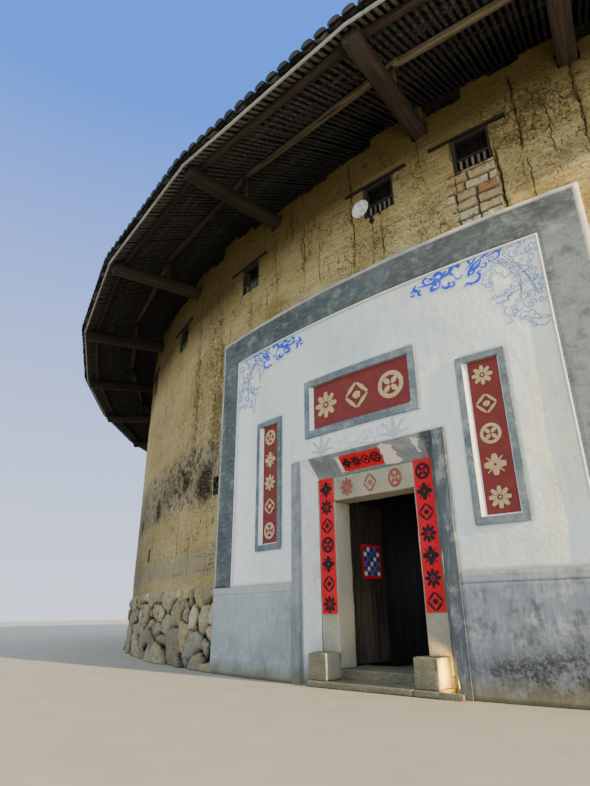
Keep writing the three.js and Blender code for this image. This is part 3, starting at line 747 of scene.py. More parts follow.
finish = {
    "earth": rammedEarth(), "stone": fieldStone(), "lime": limewash(),
    "granite": dressedGranite("dressedGranite", "#8b8673", "#a6a18e"),
    # Darker copies of the granite: the sill's is worn stone with the doorway's shade painted in; the
    # step's and blocks' is a yellower stone, also darker as painted shade
    "shadedSillGranite": dressedGranite("trodShadedGranite", "#4f4b3a", "#67624c"),
    "shadedBlockGranite": dressedGranite("yellowShadedGranite", "#5d5846", "#746e58"),
    # The border's zone is painted sunlight, paler on its right end
    "border": brushedRender("brushedRenderBorder", (2.0, 5.0, 1.0), "#3f4647", "#5d6362", "#8d9492", (
        (2.75, 3.0, 9, 10, "#7b8283", 0.8),), 0.6),
    "boardFrame": brushedRender("brushedRenderFrame", (4.0, 4.0, 1.0), "#505c62", "#717e82", "#a1abab",
                                mould=0.5),
    "dado": brushedRender("brushedRenderDado", (5.0, 1.0, 1.0), "#6d7476", "#898f90", "#abb1b1", (
        (-9, -8, -2, -1, "#abb3b6", 0.55), (1.2, 1.5, 9, 10, "#737a87", 0.6)), 0.65),
    # The surround's second zone is painted shade, dark over its right splay and pier
    "surround": brushedRender("brushedRenderSurround", (6.0, 0.7, 6.0), "#697175", "#878e8f", "#a6acab", (
        (-1.2, -1.18, -1.02, -1.0, "#dfe6e4", 0.95), (1.0, 1.03, 1.4, 1.42, "#454d51", 0.9)), 0.5),
    "maroon": oldPaint("maroonOilPaint", "#6f2521", "#803a33"),
    "gold": oldPaint("goldPaint", "#b0976a", "#cdc09c", 0.5),
    "white": oldPaint("whiteLimeLip", "#d6dad6", "#a9afaa", 0.85),
    "blue": oldPaint("blueOchrePaint", "#2c43c8", "#6478d4", 0.8),
    "paleBlue": oldPaint("paleBlueWash", "#bac8e6", "#d2dae0", 0.85),
    "ink": oldPaint("inkLine", "#4a5684", "#8f99b4", 0.85),
    "faded": oldPaint("fadedGreyInk", "#a6aeb2", "#c6ccc9", 0.85),
    "black": oldPaint("blackInk", "#100d0c", "#231c1a", 0.7),
    "print": oldPaint("printedBlueGrey", "#566283", "#8a6f78", 0.7),
    "carved": oldPaint("redCarving", "#8a4a40", "#a08070", 0.85),
    "paper": pastedPaper("redPaper", "#c20a1d", "#cf2e38"),
    "scrap": pastedPaper("paperScrap", "#d9cfc8", "#c99a94"),
    # The last setting of these timbers paints shade, darker towards the left under the eave
    "log": weatheredWood("weatheredLog", "#251f1b", "#453a30", soot=(-1.5, -7.0, 0.4)),
    "pole": weatheredWood("purlinPole", "#443c30", "#786e58", soot=(1.9, -1.2, 0.58)),
    "plank": weatheredWood("oiledPlank", "#302a25", "#5a5249"),
    "frame": weatheredWood("windowTimber", "#1f1b17", "#40382f"),
    "bar": weatheredWood("windowBar", "#45403a", "#746d63"),
    # Near black: painted shade inside the windows and the smoke slots
    "shutter": weatheredWood("windowShutterShade", "#060606", "#0c0b0b"),
    "slat": weatheredWood("roofSlat", "#2a2a2a", "#686765", "#0e0d0d", eaveLight="#94928c",
                          soot=(-1.5, -7.0, 0.5)),
    "fascia": weatheredWood("silveredBoard", "#8f8f8a", "#c3c4c0"),
    "post": boardedWood("galleryTimber", (14.0, 0.8, 14.0), "#3d2d20", "#6f5640", 0.4),
    "purlin": boardedWood("smokedPurlin", (14.0, 6.0, 14.0), "#1f1a16", "#37302a", 3.0),
    "floor": boardedWood("floorBoards", (9.0, 3.0, 0.8), "#4a3a2a", "#7a624a", 0.22),
    "hall": boardedWood("hallBoards", (14.0, 0.8, 9.0), "#2a2827", "#403d3b", 0.2),
    "coverTile": clayTile("clayCoverTile", ("#2b2a29", "#3a3937", "#474542", "#5a564f"), "#1f1f1c"),
    "underTile": clayTile("clayTileUnderside", ("#161616", "#242424", "#3f3f3e", "#737270"), "#131313"),
    "lamp": dustyEnamel(),
}
print("materials made")


# Earth wall: one displaced sheet to a sector, in front of the sector's own solid set back
earth = {"lift": 0.43, "block": 1.8, "jointHalf": 0.011, "jointDepth": 0.02, "bottom": 1.24,
         "setBack": 0.12, "skirt": 0.22, "seed": 40, "crestFrom": 8.6, "crestStep": 0.55,
         "crestDrop": 0.42, "coarse": (0.15, 0.13),
         "fine": {"left_front": (-11.6, 0.048, 0.042), "right_front": (7.0, 0.06, 0.06)}}
behindFacing = 0.03      # how far the sheets run in behind the plaster front
facingEdge = gate["facingHalf"] - behindFacing
# s, low z, high z, half width, depth
earthCracks = [
    (0.08, 6.4, 8.7, 0.016, 0.07), (0.47, 6.75, 7.22, 0.012, 0.05), (0.66, 6.3, 7.2, 0.012, 0.05),
    (-1.1, 6.8, 7.75, 0.014, 0.05), (-1.42, 7.9, 8.5, 0.012, 0.05), (-1.9, 7.3, 7.95, 0.014, 0.05),
    (-2.2, 6.3, 6.95, 0.012, 0.04), (-2.75, 6.5, 7.2, 0.014, 0.05), (2.66, 6.2, 7.25, 0.03, 0.12),
    (3.02, 7.3, 8.6, 0.022, 0.09), (3.85, 7.0, 8.8, 0.018, 0.08), (4.3, 6.4, 8.3, 0.02, 0.08),
    (1.45, 7.9, 8.3, 0.012, 0.05), (2.0, 6.3, 7.1, 0.018, 0.08), (-3.9, 4.0, 7.7, 0.012, 0.04),
    (-5.6, 2.0, 3.3, 0.014, 0.05), (-5.0, 5.0, 8.2, 0.012, 0.04)]
# s, z, half length, half height, strength
erodedPlaces = [(3.2, 7.7, 0.8, 0.55, 1.0), (3.6, 6.9, 1.0, 0.5, 0.5), (1.5, 6.8, 0.45, 0.5, 0.5),
                (-4.75, 4.5, 0.5, 2.4, 0.5), (-5.0, 5.2, 0.2, 2.0, 1.0), (-3.95, 5.4, 0.26, 2.2, 1.0),
                (-4.3, 3.4, 0.5, 0.5, 0.8), (-6.3, 3.6, 1.6, 0.5, 0.6),
                (-4.2, 6.2, 0.5, 1.4, 0.6), (0.6, 6.7, 0.5, 0.35, 0.6)]
brickPatch = {"from": 1.93, "to": 2.62, "low": 6.2, "high": 7.25, "row": 0.17, "length": 0.36,
              "joint": 0.018}
# s, z, radius
sootMarks = [(-4.3, 3.48, 0.34), (-5.3, 3.62, 0.2), (-7.2, 3.3, 0.2), (-9.4, 3.2, 0.2), (-4.9, 4.2, 0.1),
             (-5.5, 3.9, 0.12)]


def tampedLifts(s, z):
    # Faint beds between the lifts, upright joints between a lift's blocks, and each block's own chance
    e = earth
    lift = z / e["lift"] + 0.12 * noise(s / 2.1, z / 3.0, 7)
    level = np.floor(lift)
    fromBed = np.abs(lift - np.round(lift)) * e["lift"]
    bed = np.exp(-(fromBed / e["jointHalf"]) ** 2)
    bed *= smoothStep(-0.1, 0.35, noise(s / 0.8, level * 3.1, 9))
    across = s / e["block"] + lattice(level, level * 0, 11) + 0.02 * noise(s * 3, z * 6, 12)
    fromEnd = np.abs(across - np.round(across)) * e["block"]
    ends = np.exp(-(fromEnd / e["jointHalf"]) ** 2)
    ends *= smoothStep(-0.2, 0.3, noise(np.round(across) * 5.3, level * 7.7, 13))
    return np.maximum(bed * 0.6, ends), lattice(level, np.floor(across), 14)


def longCracks(s, z):
    # How deep they cut, the distance from the nearest one, and its half width
    cut, nearest, wide = np.zeros_like(s), np.full_like(s, 1.0), np.zeros_like(s)
    for at, low, high, half, depth in earthCracks:
        wander = 0.03 * rough(z, z * 0 + at, 0.5, 15, 3) + 0.02 * rough(z, z * 0 + at, 0.09, 18, 3)
        reach = within(z, low, high, 0.25)
        away = s - at - wander
        cut += 0.7 * depth * np.exp(-(away / 0.022) ** 2) * reach
        own = half * (0.2 + 0.5 * lattice(np.floor(z / 0.09), z * 0 + at * 7, 19)) * reach
        nearer = np.abs(away) < np.abs(nearest)
        nearest = np.where(nearer, away, nearest)
        wide = np.where(nearer, np.where(np.abs(away) < 0.07, own, 0), wide)
    return cut, nearest, wide


def bricks(s, z):
    # Where the patch is, how proud its odd bricks stand, how dark the joints are, and each brick's tone
    b = brickPatch
    bentS, up = s + 0.03 * rough(s, z, 0.2, 38, 3), z + 0.03 * rough(s, z, 0.3, 37, 3) - b["low"]
    row = np.floor(up / b["row"])
    length = b["length"] * (0.7 + 0.6 * lattice(row, row * 0 + 2, 39))
    along = bentS / length + lattice(row, row * 0, 31)
    number = np.floor(along)
    across = (along - number) * length
    edge = np.minimum(up - row * b["row"], (row + 1) * b["row"] - up)
    edge = np.minimum(edge, np.minimum(across, length - across))
    start = b["from"] + 0.22 * (lattice(row, row * 0, 33) - 0.4)
    inPatch = (bentS > start) & (bentS < b["to"]) & (z > b["low"]) & (z < b["high"])
    face = smoothStep(0.2 * b["joint"], 1.2 * b["joint"], edge)
    own = lattice(number, row, 32)
    proud = -0.04 + 0.055 * face + 0.035 * (own - 0.5) * face + 0.01 * rough(s, z, 0.09, 34, 3)
    return inPatch, proud, (1 - face) * 0.95, np.where(face > 0.3, 0.1 + 0.9 * own ** 1.6, 0.0)


def sootAndShadeAt(s, z):
    soot = np.zeros_like(s)
    for at, height, size in sootMarks:
        away = np.hypot(s - at, (z - height) * 0.9) / size + 0.5 * rough(s, z, 0.25, 35, 4)
        soot = np.maximum(soot, 1 - smoothStep(0.45, 1.6, away))
    speckled = smoothStep(0.05, 0.4, rough(s, z, 0.09, 36, 3)) * within(z, 3.2, 4.1, 0.4)
    soot = np.maximum(soot, 0.75 * speckled * smoothStep(-3.4, -4.0, s) * smoothStep(-12.0, -9.0, s))
    # Painted shade: the sides inside the smoke slots are drawn black
    for s0, s1, z0, z1 in smokeSlots:
        soot = np.maximum(soot, within(s, s0, s1, 0.01) * within(z, z0, z1, 0.01))
    return soot


def earthSurface(s, z):
    e = earth
    joint, own = tampedLifts(s, z)
    cut, crackAway, crackWide = longCracks(s, z)
    proud = 0.02 + 0.012 * rough(s, z, 1.6, e["seed"], 3) + 0.008 * rough(s, z, 0.22, e["seed"] + 5, 4)
    proud += 0.012 * (own - 0.5) - e["jointDepth"] * joint - cut
    worn = np.zeros_like(s)
    for at, height, halfS, halfZ, strength in erodedPlaces:
        worn = np.maximum(worn, strength * np.exp(-((s - at) / halfS) ** 2 - ((z - height) / halfZ) ** 2))
    worn = np.clip(worn + 0.35 * smoothStep(0.2, 0.6, rough(s, z, 1.9, 21, 3)), 0, 1)
    hollows = smoothStep(0.15, 0.3, rough(s, z, 0.16, 22, 4)) * smoothStep(0.25, 0.6, worn)
    crumbs = smoothStep(-0.1, 0.1, rough(s, z, 0.07, 26, 3)) * smoothStep(0.3, 0.8, worn)
    proud -= 0.035 * hollows + 0.014 * crumbs + 0.01 * worn
    # pit: how much painted shade darkens the joints, hollows and crumbs
    pit = np.maximum(joint * 0.4, np.maximum(hollows * 0.45, crumbs * 0.25))
    inPatch, brickProud, brickPit, brick = bricks(s, z)
    proud, pit = np.where(inPatch, brickProud, proud), np.where(inPatch, brickPit, pit)
    # Uneven over the stones, and stepped along the top
    settle = smoothStep(1.9, 1.3, z) * 0.05 * rough(s, z, 0.5, 41, 2)
    step = np.floor(s / e["crestStep"] + 0.3 * rough(s, s * 0, 0.3, 43, 2))
    crest = e["crestDrop"] * (lattice(step, s * 0, 42) - 0.75) + 0.05 * rough(s, z, 0.12, 44, 3)
    up = z + settle + smoothStep(e["crestFrom"], wall["top"], z) * crest
    return ringPoints(s, up, wallRadiusAt(z) + proud), {
        "pit": pit, "worn": worn, "brick": np.where(inPatch, brick, 0.0), "soot": sootAndShadeAt(s, z),
        "crackAway": crackAway, "crackWide": crackWide}


def makeEarthWall():
    # The second finish, near black, is painted shade inside the smoke slots
    e, cuts, looks = earth, wallHoles(), [finish["earth"], finish["shutter"]]
    marks = [v for cut in cuts for v in cut[:2]]
    heights = [v for cut in cuts for v in cut[2:]]
    facing = (-facingEdge, facingEdge, -1, gate["facingTop"] - behindFacing)
    half = alongWall(wall["frontHalf"])
    # From, to and widest step, the finest at the brick patch
    levels = gridLines([(e["bottom"], facing[3], 0.034), (facing[3], 7.3, 0.017),
                        (7.3, wall["top"], 0.022)], heights)
    lines = gridLines([(-half, facing[0], 0.028), (facing[0], 1.7, 0.025), (1.7, 2.7, 0.014),
                       (2.7, facing[1], 0.025), (facing[1], half, 0.022)], marks)
    nodes = ("earth_wall_gate_left", "earth_wall_gate_right", "earth_wall_over_gate")
    parts = [sheet(lines, levels, cuts + [facing], earthSurface, e["skirt"])]
    parts += [cadCopy(node, e["setBack"]) for node in nodes]
    sheetPiece("earthWallFront", joined(parts), looks, nodes)
    whole = alongWall(360)
    marks += [m - whole for m in marks]
    cuts += [(a - whole, b - whole, c, d) for a, b, c, d in cuts]
    rows = (e["bottom"], wall["top"])
    for name, low, high in sideSectors():
        parts = sectorSheets(name, low, high, e, rows, earthSurface, heights, marks, cuts)
        parts.append(cadCopy("earth_wall_" + name, e["setBack"]))
        sheetPiece("earthWall_" + name, joined(parts), looks, ("earth_wall_" + name,))


makeEarthWall()
print("earth wall made")


# Plinth: field stones from jittered rows of seeds, each stone domed, with deep joints between
stones = {"rows": ((0.0, 0.44, 0.72), (0.42, 0.82, 0.56), (0.8, 1.1, 0.42), (1.08, 1.42, 0.32)),
          "jitter": 0.42, "dome": 0.14, "joint": 0.035, "top": 1.4, "setBack": 0.14, "skirt": 0.2,
          "seed": 77, "seedsBeyond": 8, "frontRise": 0.028, "leftStep": 0.03, "rightStep": 0.035,
          "coarse": (0.08, 0.075), "fine": {"left_front": (-11.6, 0.03, 0.028)}}


def stoneSeeds(low, high):
    rng = np.random.default_rng(stones["seed"])
    seeds = []
    for z0, z1, width in stones["rows"]:
        s = low - 1.0
        while s < high + 1.0:
            wide = width * rng.uniform(0.6, 1.4)
            if rng.random() < 0.3:
                seeds.append((s + wide * rng.uniform(0, 1), z0 + (z1 - z0) * rng.uniform(-0.1, 0.2)))
            if rng.random() > 0.15:
                sway = (z1 - z0) * stones["jitter"] * rng.uniform(-1, 1)
                seeds.append((s + wide / 2, (z0 + z1) / 2 + sway))
            s += wide
    return seeds


def stoneSurface(low, high):
    seeds = stoneSeeds(low, high)
    tree = kdtree.KDTree(len(seeds))
    for i, (s, z) in enumerate(seeds):
        tree.insert((s, z, 0), i)
    tree.balance()
    rng = np.random.default_rng(stones["seed"] + 1)
    offset = rng.uniform(-0.03, 0.03, len(seeds))
    tilt = rng.uniform(-0.2, 0.2, (len(seeds), 2))
    tones = rng.random(len(seeds))
    sites = np.array(seeds)

    def surface(s, z):
        bentS = s + 0.05 * rough(s, z, 0.24, 81, 3)
        bentZ = z + 0.05 * rough(s, z, 0.24, 85, 3)
        found = [tree.find_n((a, b, 0), 2) for a, b in zip(bentS.ravel(), bentZ.ravel())]
        first = np.array([f[0][1] for f in found]).reshape(s.shape)
        gap = np.array([f[1][2] - f[0][2] for f in found]).reshape(s.shape)
        near = np.array([f[0][2] for f in found]).reshape(s.shape)
        dome = 1 - np.exp(-gap / stones["joint"])
        lean = tilt[first, 0] * (s - sites[first, 0]) + tilt[first, 1] * (z - sites[first, 1])
        proud = -0.09 + stones["dome"] * dome + offset[first] + lean - 0.12 * near ** 2
        proud += 0.03 * np.abs(rough(s + 0.7 * tones[first], z, 0.2, 90, 4)) - 0.01
        proud *= smoothStep(1.46, 1.3, z) * 0.9 + 0.1
        values = {"stone": tones[first], "pit": np.exp(-gap / 0.028)}
        return ringPoints(s, z, wallRadiusAt(z) + proud), values
    return surface


def makePlinth():
    st, look = stones, finish["stone"]
    half = alongWall(wall["frontHalf"])
    surface = stoneSurface(-half - st["seedsBeyond"], half)
    levels = gridLines([(0, st["top"], st["frontRise"])])
    spans = (-half, -facingEdge, st["leftStep"]), (facingEdge, half, st["rightStep"])
    parts = [sheet(gridLines([span]), levels, [], surface, st["skirt"]) for span in spans]
    nodes = ("plinth_gate_left", "plinth_gate_right")
    parts += [cadCopy(node, st["setBack"]) for node in nodes]
    sheetPiece("plinthFront", joined(parts), look, nodes)
    for name, low, high in sideSectors():
        parts = sectorSheets(name, low, high, st, (0, st["top"]), stoneSurface(low, high))
        parts.append(cadCopy("plinth_" + name, st["setBack"]))
        sheetPiece("plinth_" + name + "Stones", joined(parts), look, ("plinth_" + name,))


makePlinth()
print("plinth made")


# Plaster front: limewashed panel, brushed border and dado, white lip
plaster = {"panelProud": 0.06, "panelDepth": 0.08, "borderProud": 0.085, "borderDepth": 0.11, "rim": 0.09,
           "dadoProud": 0.08, "dadoStep": 0.05, "groove": 1.235, "grooveHalf": 0.012,
           "grooveStep": 0.01, "nearGroove": (1.19, 1.28), "lip": 0.026, "lipProud": 0.096,
           "lipDepth": 0.06, "step": 0.06}
boards = {
    "gatePlaque": {"node": "gate_plaque", "centre": 0.0, "half": 1.063, "low": 3.57, "high": 4.57,
                   "margin": 0.115},
    "coupletLeft": {"node": "couplet_left", "centre": -1.98, "half": 0.33, "low": 1.9, "high": 4.14,
                    "margin": 0.09},
    "coupletRight": {"node": "couplet_right", "centre": 1.98, "half": 0.33, "low": 1.9, "high": 4.14,
                     "margin": 0.09},
}
# A board's painted field lies back from its frame, behind a white slope this wide on each side
boardRelief = {"frameProud": 0.084, "fieldProud": 0.032, "left": 0.055, "right": 0.022, "foot": 0.022,
               "head": 0.006, "depth": 0.09, "step": 0.08}


def onWallSheet(proudAt, valuesAt=None):
    # A surface for a sheet, from how proud of the wall it stands
    return lambda s, z: (ringPoints(s, z, wallRadiusAt(z) + proudAt(s, z)),
                         valuesAt(s, z) if valuesAt else {})


def makePlaster():
    p, g = plaster, gate
    half, top, low = g["panelHalf"], g["panelTop"], g["dadoTop"]
    outer, over, rim, lip = g["facingHalf"], g["facingTop"], p["rim"], p["lip"]

    def edgeAt(s, z):
        return np.minimum(outer - np.abs(s), over - z)

    def panel(s, z):
        return p["panelProud"] + 0.004 * rough(s, z, 0.9, 51, 3) + 0.0012 * rough(s, z, 0.15, 55, 2)

    def border(s, z):
        worn = 0.02 * smoothStep(0.05, 0.0, edgeAt(s, z)) * (1 + rough(s, z, 0.25, 57, 3))
        return p["borderProud"] - worn + 0.003 * rough(s, z, 0.5, 58, 3)

    def chalkyRim(s, z):
        chalky = np.clip(0.85 + 0.5 * rough(s, z, 0.4, 62, 3), 0, 1)
        return {"rim": chalky * smoothStep(rim, rim / 2, edgeAt(s, z))}

    def dado(s, z):
        groove = p["grooveHalf"] * np.exp(-((z - p["groove"]) / p["grooveHalf"]) ** 2)
        return p["dadoProud"] - groove + 0.004 * rough(s, z, 0.7, 59, 3)

    def whiteLip(s, z):
        return p["lipProud"] + 0.003 * rough(s, z, 0.3, 60, 2)

    gateHole = (-g["half"], g["half"], -1, g["top"])
    cuts = [gateHole] + [(b["centre"] - b["half"], b["centre"] + b["half"], b["low"], b["high"])
                         for b in boards.values()]
    across = gridLines([(-half, half, p["step"])], [v for cut in cuts for v in cut[:2]])
    levels = gridLines([(low, top, p["step"])], [v for cut in cuts for v in cut[2:]])
    part = sheet(across, levels, cuts, onWallSheet(panel), p["panelDepth"])
    sheetPiece("limewashedPanel", part, finish["lime"], ("limewashed_panel",))
    across = gridLines([(-outer, rim - outer, rim / 2), (rim - outer, outer - rim, p["step"]),
                        (outer - rim, outer, rim / 2)], [-half, half])
    levels = gridLines([(low, over - rim, p["step"]), (over - rim, over, rim / 2)], [top])
    surface = onWallSheet(border, chalkyRim)
    part = sheet(across, levels, [(-half, half, -1, top)], surface, p["borderDepth"])
    sheetPiece("panelBorder", part, finish["border"], ("panel_border",))
    across = gridLines([(-outer, outer, p["dadoStep"])], gateHole[:2])
    under, above = p["nearGroove"]
    levels = gridLines([(0, under, p["step"]), (under, above, p["grooveStep"]),
                        (above, low, p["dadoStep"])])
    surface = onWallSheet(dado, lambda s, z: {"rim": 0.22 * smoothStep(1.24, 1.26, z)})
    part = sheet(across, levels, [gateHole], surface, p["borderDepth"])
    sheetPiece("dado", part, finish["dado"], ("dado_left", "dado_right"))
    cut = (-half + lip, half - lip, -1, top - lip)
    across = gridLines([(-half, half, p["step"])], cut[:2])
    levels = gridLines([(low, top, p["step"])], cut[3:])
    part = sheet(across, levels, [cut], onWallSheet(whiteLip), p["lipDepth"])
    sheetPiece("whiteLip", part, finish["white"])


def makeBoards():
    r = boardRelief
    for name, b in boards.items():
        s0, s1 = b["centre"] - b["half"], b["centre"] + b["half"]
        inner = (s0 + b["margin"], s1 - b["margin"], b["low"] + b["margin"], b["high"] - b["margin"])
        field = (inner[0] + r["left"], inner[1] - r["right"], inner[2] + r["foot"], inner[3] - r["head"])

        def board(s, z):
            depth = np.minimum(np.minimum((s - inner[0]) / r["left"], (inner[1] - s) / r["right"]),
                               np.minimum((z - inner[2]) / r["foot"], (inner[3] - z) / r["head"]))
            slope = (r["fieldProud"] - r["frameProud"]) * np.clip(depth, 0, 1)
            return r["frameProud"] + slope + 0.0015 * rough(s, z, 0.3, 61, 2)

        def look(s, z):
            framed = (s < inner[0]) | (s > inner[1]) | (z < inner[2]) | (z > field[3])
            return np.where(framed, 0, np.where(inHole(s, z, [field]), 2, 1))

        part = sheet(gridLines([(s0, s1, r["step"])], inner[:2] + field[:2]),
                     gridLines([(b["low"], b["high"], r["step"])], inner[2:] + field[2:]),
                     [], onWallSheet(board), r["depth"], look)
        part["smooth"][:] = False
        sheetPiece(name, part, [finish["boardFrame"], finish["white"], finish["maroon"]],
                   (b["node"],))


makePlaster()
makeBoards()
print("plaster front made")


# Ornament: tapering brush strokes laid on a surface. A place takes (across, up, lift) to a point.
def onWall(proud):
    return lambda s, z, lift: ringPoints(s, z, wallRadiusAt(z) + proud + lift)


def onPlane(origin, across, up):
    origin, across, up = [np.array(v, float) for v in (origin, across, up)]
    across, up = across / np.linalg.norm(across), up / np.linalg.norm(up)
    outward = np.cross(across, up)
    return lambda x, z, lift: (origin + np.asarray(x)[..., None] * across + np.asarray(z)[..., None] * up
                               + (np.asarray(lift) + 0 * np.asarray(x))[..., None] * outward)


leafTurn = math.radians(83)
places = {
    "panel": onWall(plaster["panelProud"] + 0.005),
    "board": onWall(boardRelief["fieldProud"] + 0.002),
    "granite": onPlane((0, -gate["graniteFace"], 0), (1, 0, 0), (0, 0, 1)),
    "soffit": onPlane((0, -20.06, 2.92), (1, 0, 0), (0, -0.24, 0.27)),
    "leftSplay": onPlane((-1.195, -20.3, 0), (0.165, 0.24, 0), (0, 0, 1)),
    "rightSplay": onPlane((1.03, -20.06, 0), (0.165, -0.24, 0), (0, 0, 1)),
    "leaf": onPlane((-0.8, -19.61, 0), (math.cos(leafTurn), math.sin(leafTurn), 0), (0, 0, 1)),
}


def addStroke(shapes, place, start, heading, length, bend, curl, width, lift=0.0, slot=0, steps=14,
              taper=(0.35, 1.0, 0.6), size=1.0, at=(0.0, 0.0), mirror=1):
    # The heading, in degrees, changes by bend evenly and by curl towards the tip
    t = np.linspace(0, 1, steps + 1)
    turn = np.radians(heading + bend * t + curl * t ** 2)
    mid = (turn[:-1] + turn[1:]) / 2
    x = start[0] + np.concatenate([[0], np.cumsum(np.cos(mid))]) * length / steps
    z = start[1] + np.concatenate([[0], np.cumsum(np.sin(mid))]) * length / steps
    half = width / 2 * np.interp(t, (0, 0.45, 1), taper)
    sides = [(x - side * np.sin(turn) * half, z + side * np.cos(turn) * half) for side in (-1, 1)]
    xs = np.concatenate([s[0] for s in sides]) * mirror * size + at[0]
    zs = np.concatenate([s[1] for s in sides]) * size + at[1]
    n = steps + 1
    faces = [[i, i + 1, n + i + 1, n + i][::mirror] for i in range(steps)]
    shapes.add(place(xs, zs, lift), faces, slot=slot)


def rays(turns, start, length, width):
    return [((start * math.cos(a), start * math.sin(a)), math.degrees(a), length, 0, 0, width)
            for a in np.radians(turns)]


# Ornament of unit radius: start, heading, length, bend, curl, width
motifs = {
    "blossom": rays(np.arange(0, 360, 45), 0.24, 0.74, 0.44) + [((-0.13, 0), 0, 0.26, 0, 0, 0.26)],
    "lozenge": [((-0.9, 0.05), 45, 1.22, 0, 0, 0.3), ((0.05, 0.9), -45, 1.22, 0, 0, 0.3),
                ((0.9, -0.05), 225, 1.22, 0, 0, 0.3), ((-0.05, -0.9), 135, 1.22, 0, 0, 0.3),
                ((-0.32, 0), 0, 0.64, 0, 0, 0.6)],
    "coin": rays((45, 135, 225, 315), 0.1, 0.55, 0.4) + [((0.82, 0), 90, 5.15, 360, 0, 0.3)],
    "quatrefoil": rays((0, 90, 180, 270), 0.12, 0.85, 0.66) + rays((45, 135, 225, 315), 0.12, 0.9, 0.16),
    "palmette": [((0.07 * side, -0.85), 90 - lean * side, length, -lean * side, 0, width)
                 for side in (-1, 1) for lean, length, width in ((24, 1.7, 0.3), (50, 1.4, 0.26))]
    + [((0, -0.95), 90, 1.9, 0, 0, 0.42)],
}
motifOrder = ["quatrefoil", "blossom", "lozenge", "coin", "quatrefoil", "lozenge", "blossom"]
motifRise = 0.0002      # each stroke of a motif lies this much over the one before


def addMotif(shapes, place, kind, at, size, lift=0.0, slot=0, squash=1.0):
    def squashed(x, z, up):
        return place(at[0] + (x - at[0]) * squash, z, up)

    for k, (start, heading, length, bend, curl, width) in enumerate(motifs[kind]):
        steps, taper = (24, (1, 1, 1)) if bend == 360 else (8, (0.35, 1.0, 0.6))
        addStroke(shapes, squashed, start, heading, length, bend, curl, width, lift + motifRise * k, slot,
                  steps, taper, size, at)


def addSheet(shapes, place, x0, x1, z0, z1, lift=0.002, step=0.06, wave=0.002, ragged=0.0, slot=0,
             seed=5):
    xs, zs = gridLines([(x0, x1, step)]), gridLines([(z0, z1, step)])
    x, z = np.meshgrid(xs, zs, indexing="ij")
    if ragged:
        edge = np.maximum(np.abs(2 * (x - x0) / (x1 - x0) - 1), np.abs(2 * (z - z0) / (z1 - z0) - 1)) ** 3
        x = x + ragged * edge * noise(z / 0.05, x / 0.05, seed)
        z = z + ragged * edge * noise(x / 0.05 + 9, z / 0.05, seed + 1)
    up = lift + wave * (1 + rough(x, z, 0.3, seed, 3))
    at = np.arange(x.size).reshape(x.shape)
    quads = np.stack([at[:-1, :-1], at[1:, :-1], at[1:, 1:], at[:-1, 1:]], axis=-1).reshape(-1, 4)
    shapes.add(place(x.ravel(), z.ravel(), up.ravel()), quads.tolist(), smooth=True, slot=slot)


# Gold marks on the three boards
boardMarks = {"coupletHalf": 0.14, "coupletTop": 3.83, "coupletStep": 0.405, "plaqueHalf": 0.225,
              "plaqueStep": 0.62, "plaqueHeight": 4.07, "lift": 0.004}


def makeBoardMarks():
    m, place = boardMarks, places["board"]
    shapes = Shapes()
    for side, board in ((-1, "coupletLeft"), (1, "coupletRight")):
        for k in range(5):
            at = (boards[board]["centre"], m["coupletTop"] - m["coupletStep"] * k)
            addMotif(shapes, place, motifOrder[(k + side) % 4], at, m["coupletHalf"], m["lift"])
    for k in range(3):
        at = (m["plaqueStep"] * (k - 1), m["plaqueHeight"])
        addMotif(shapes, place, motifOrder[k + 1], at, m["plaqueHalf"], m["lift"])
    shapes.piece("boardMarks", finish["gold"], "painted_board")


# Blue foliage along the panel's top edge: start, heading, length, bend, curl, width
foliage = [((0.16, -0.2), 170, 0.17, -60, -120, 0.05), ((0.16, -0.2), 120, 0.15, 40, 110, 0.045),
           ((0.2, -0.18), 205, 0.14, 60, 130, 0.05), ((0.1, -0.21), 250, 0.1, -60, -120, 0.035),
           ((0.17, -0.13), -12, 0.66, 34, 30, 0.05), ((0.3, -0.14), 150, 0.2, -60, -170, 0.045),
           ((0.45, -0.22), 125, 0.46, -70, -290, 0.06), ((0.5, -0.24), 70, 0.3, 60, 290, 0.055),
           ((0.5, -0.24), 225, 0.22, -70, -170, 0.05), ((0.53, -0.24), 285, 0.22, 70, 170, 0.055),
           ((0.72, -0.15), 140, 0.3, -120, -120, 0.065), ((0.66, -0.1), 200, 0.16, -60, -200, 0.05),
           ((0.74, -0.13), 255, 0.22, 70, 160, 0.022), ((0.9, -0.13), 30, 0.3, 10, 30, 0.03),
           ((0.98, -0.06), 130, 0.16, -70, -150, 0.05), ((1.12, -0.05), 200, 0.3, 30, 40, 0.05),
           ((1.14, -0.06), 240, 0.24, -20, -60, 0.06), ((1.12, -0.04), 20, 0.3, 10, 20, 0.045),
           ((0.86, -0.4), 60, 0.14, -60, -120, 0.035), ((0.9, -0.36), 330, 0.32, 60, 130, 0.045),
           ((1.14, -0.28), 200, 0.16, -90, -200, 0.025), ((1.2, -0.05), 15, 0.5, 20, -60, 0.03),
           ((1.32, -0.02), 60, 0.2, -60, -250, 0.03), ((1.25, -0.12), -20, 0.3, 60, 200, 0.03),
           ((1.1, -0.15), -60, 0.22, 80, 240, 0.03), ((0.33, -0.1), 75, 0.12, -60, -200, 0.035),
           ((0.36, -0.2), 250, 0.16, 60, 170, 0.04), ((0.62, -0.3), 320, 0.2, 60, 200, 0.035),
           ((0.8, -0.06), 40, 0.14, 60, 200, 0.035), ((1.0, -0.12), 310, 0.2, -60, -150, 0.035)]
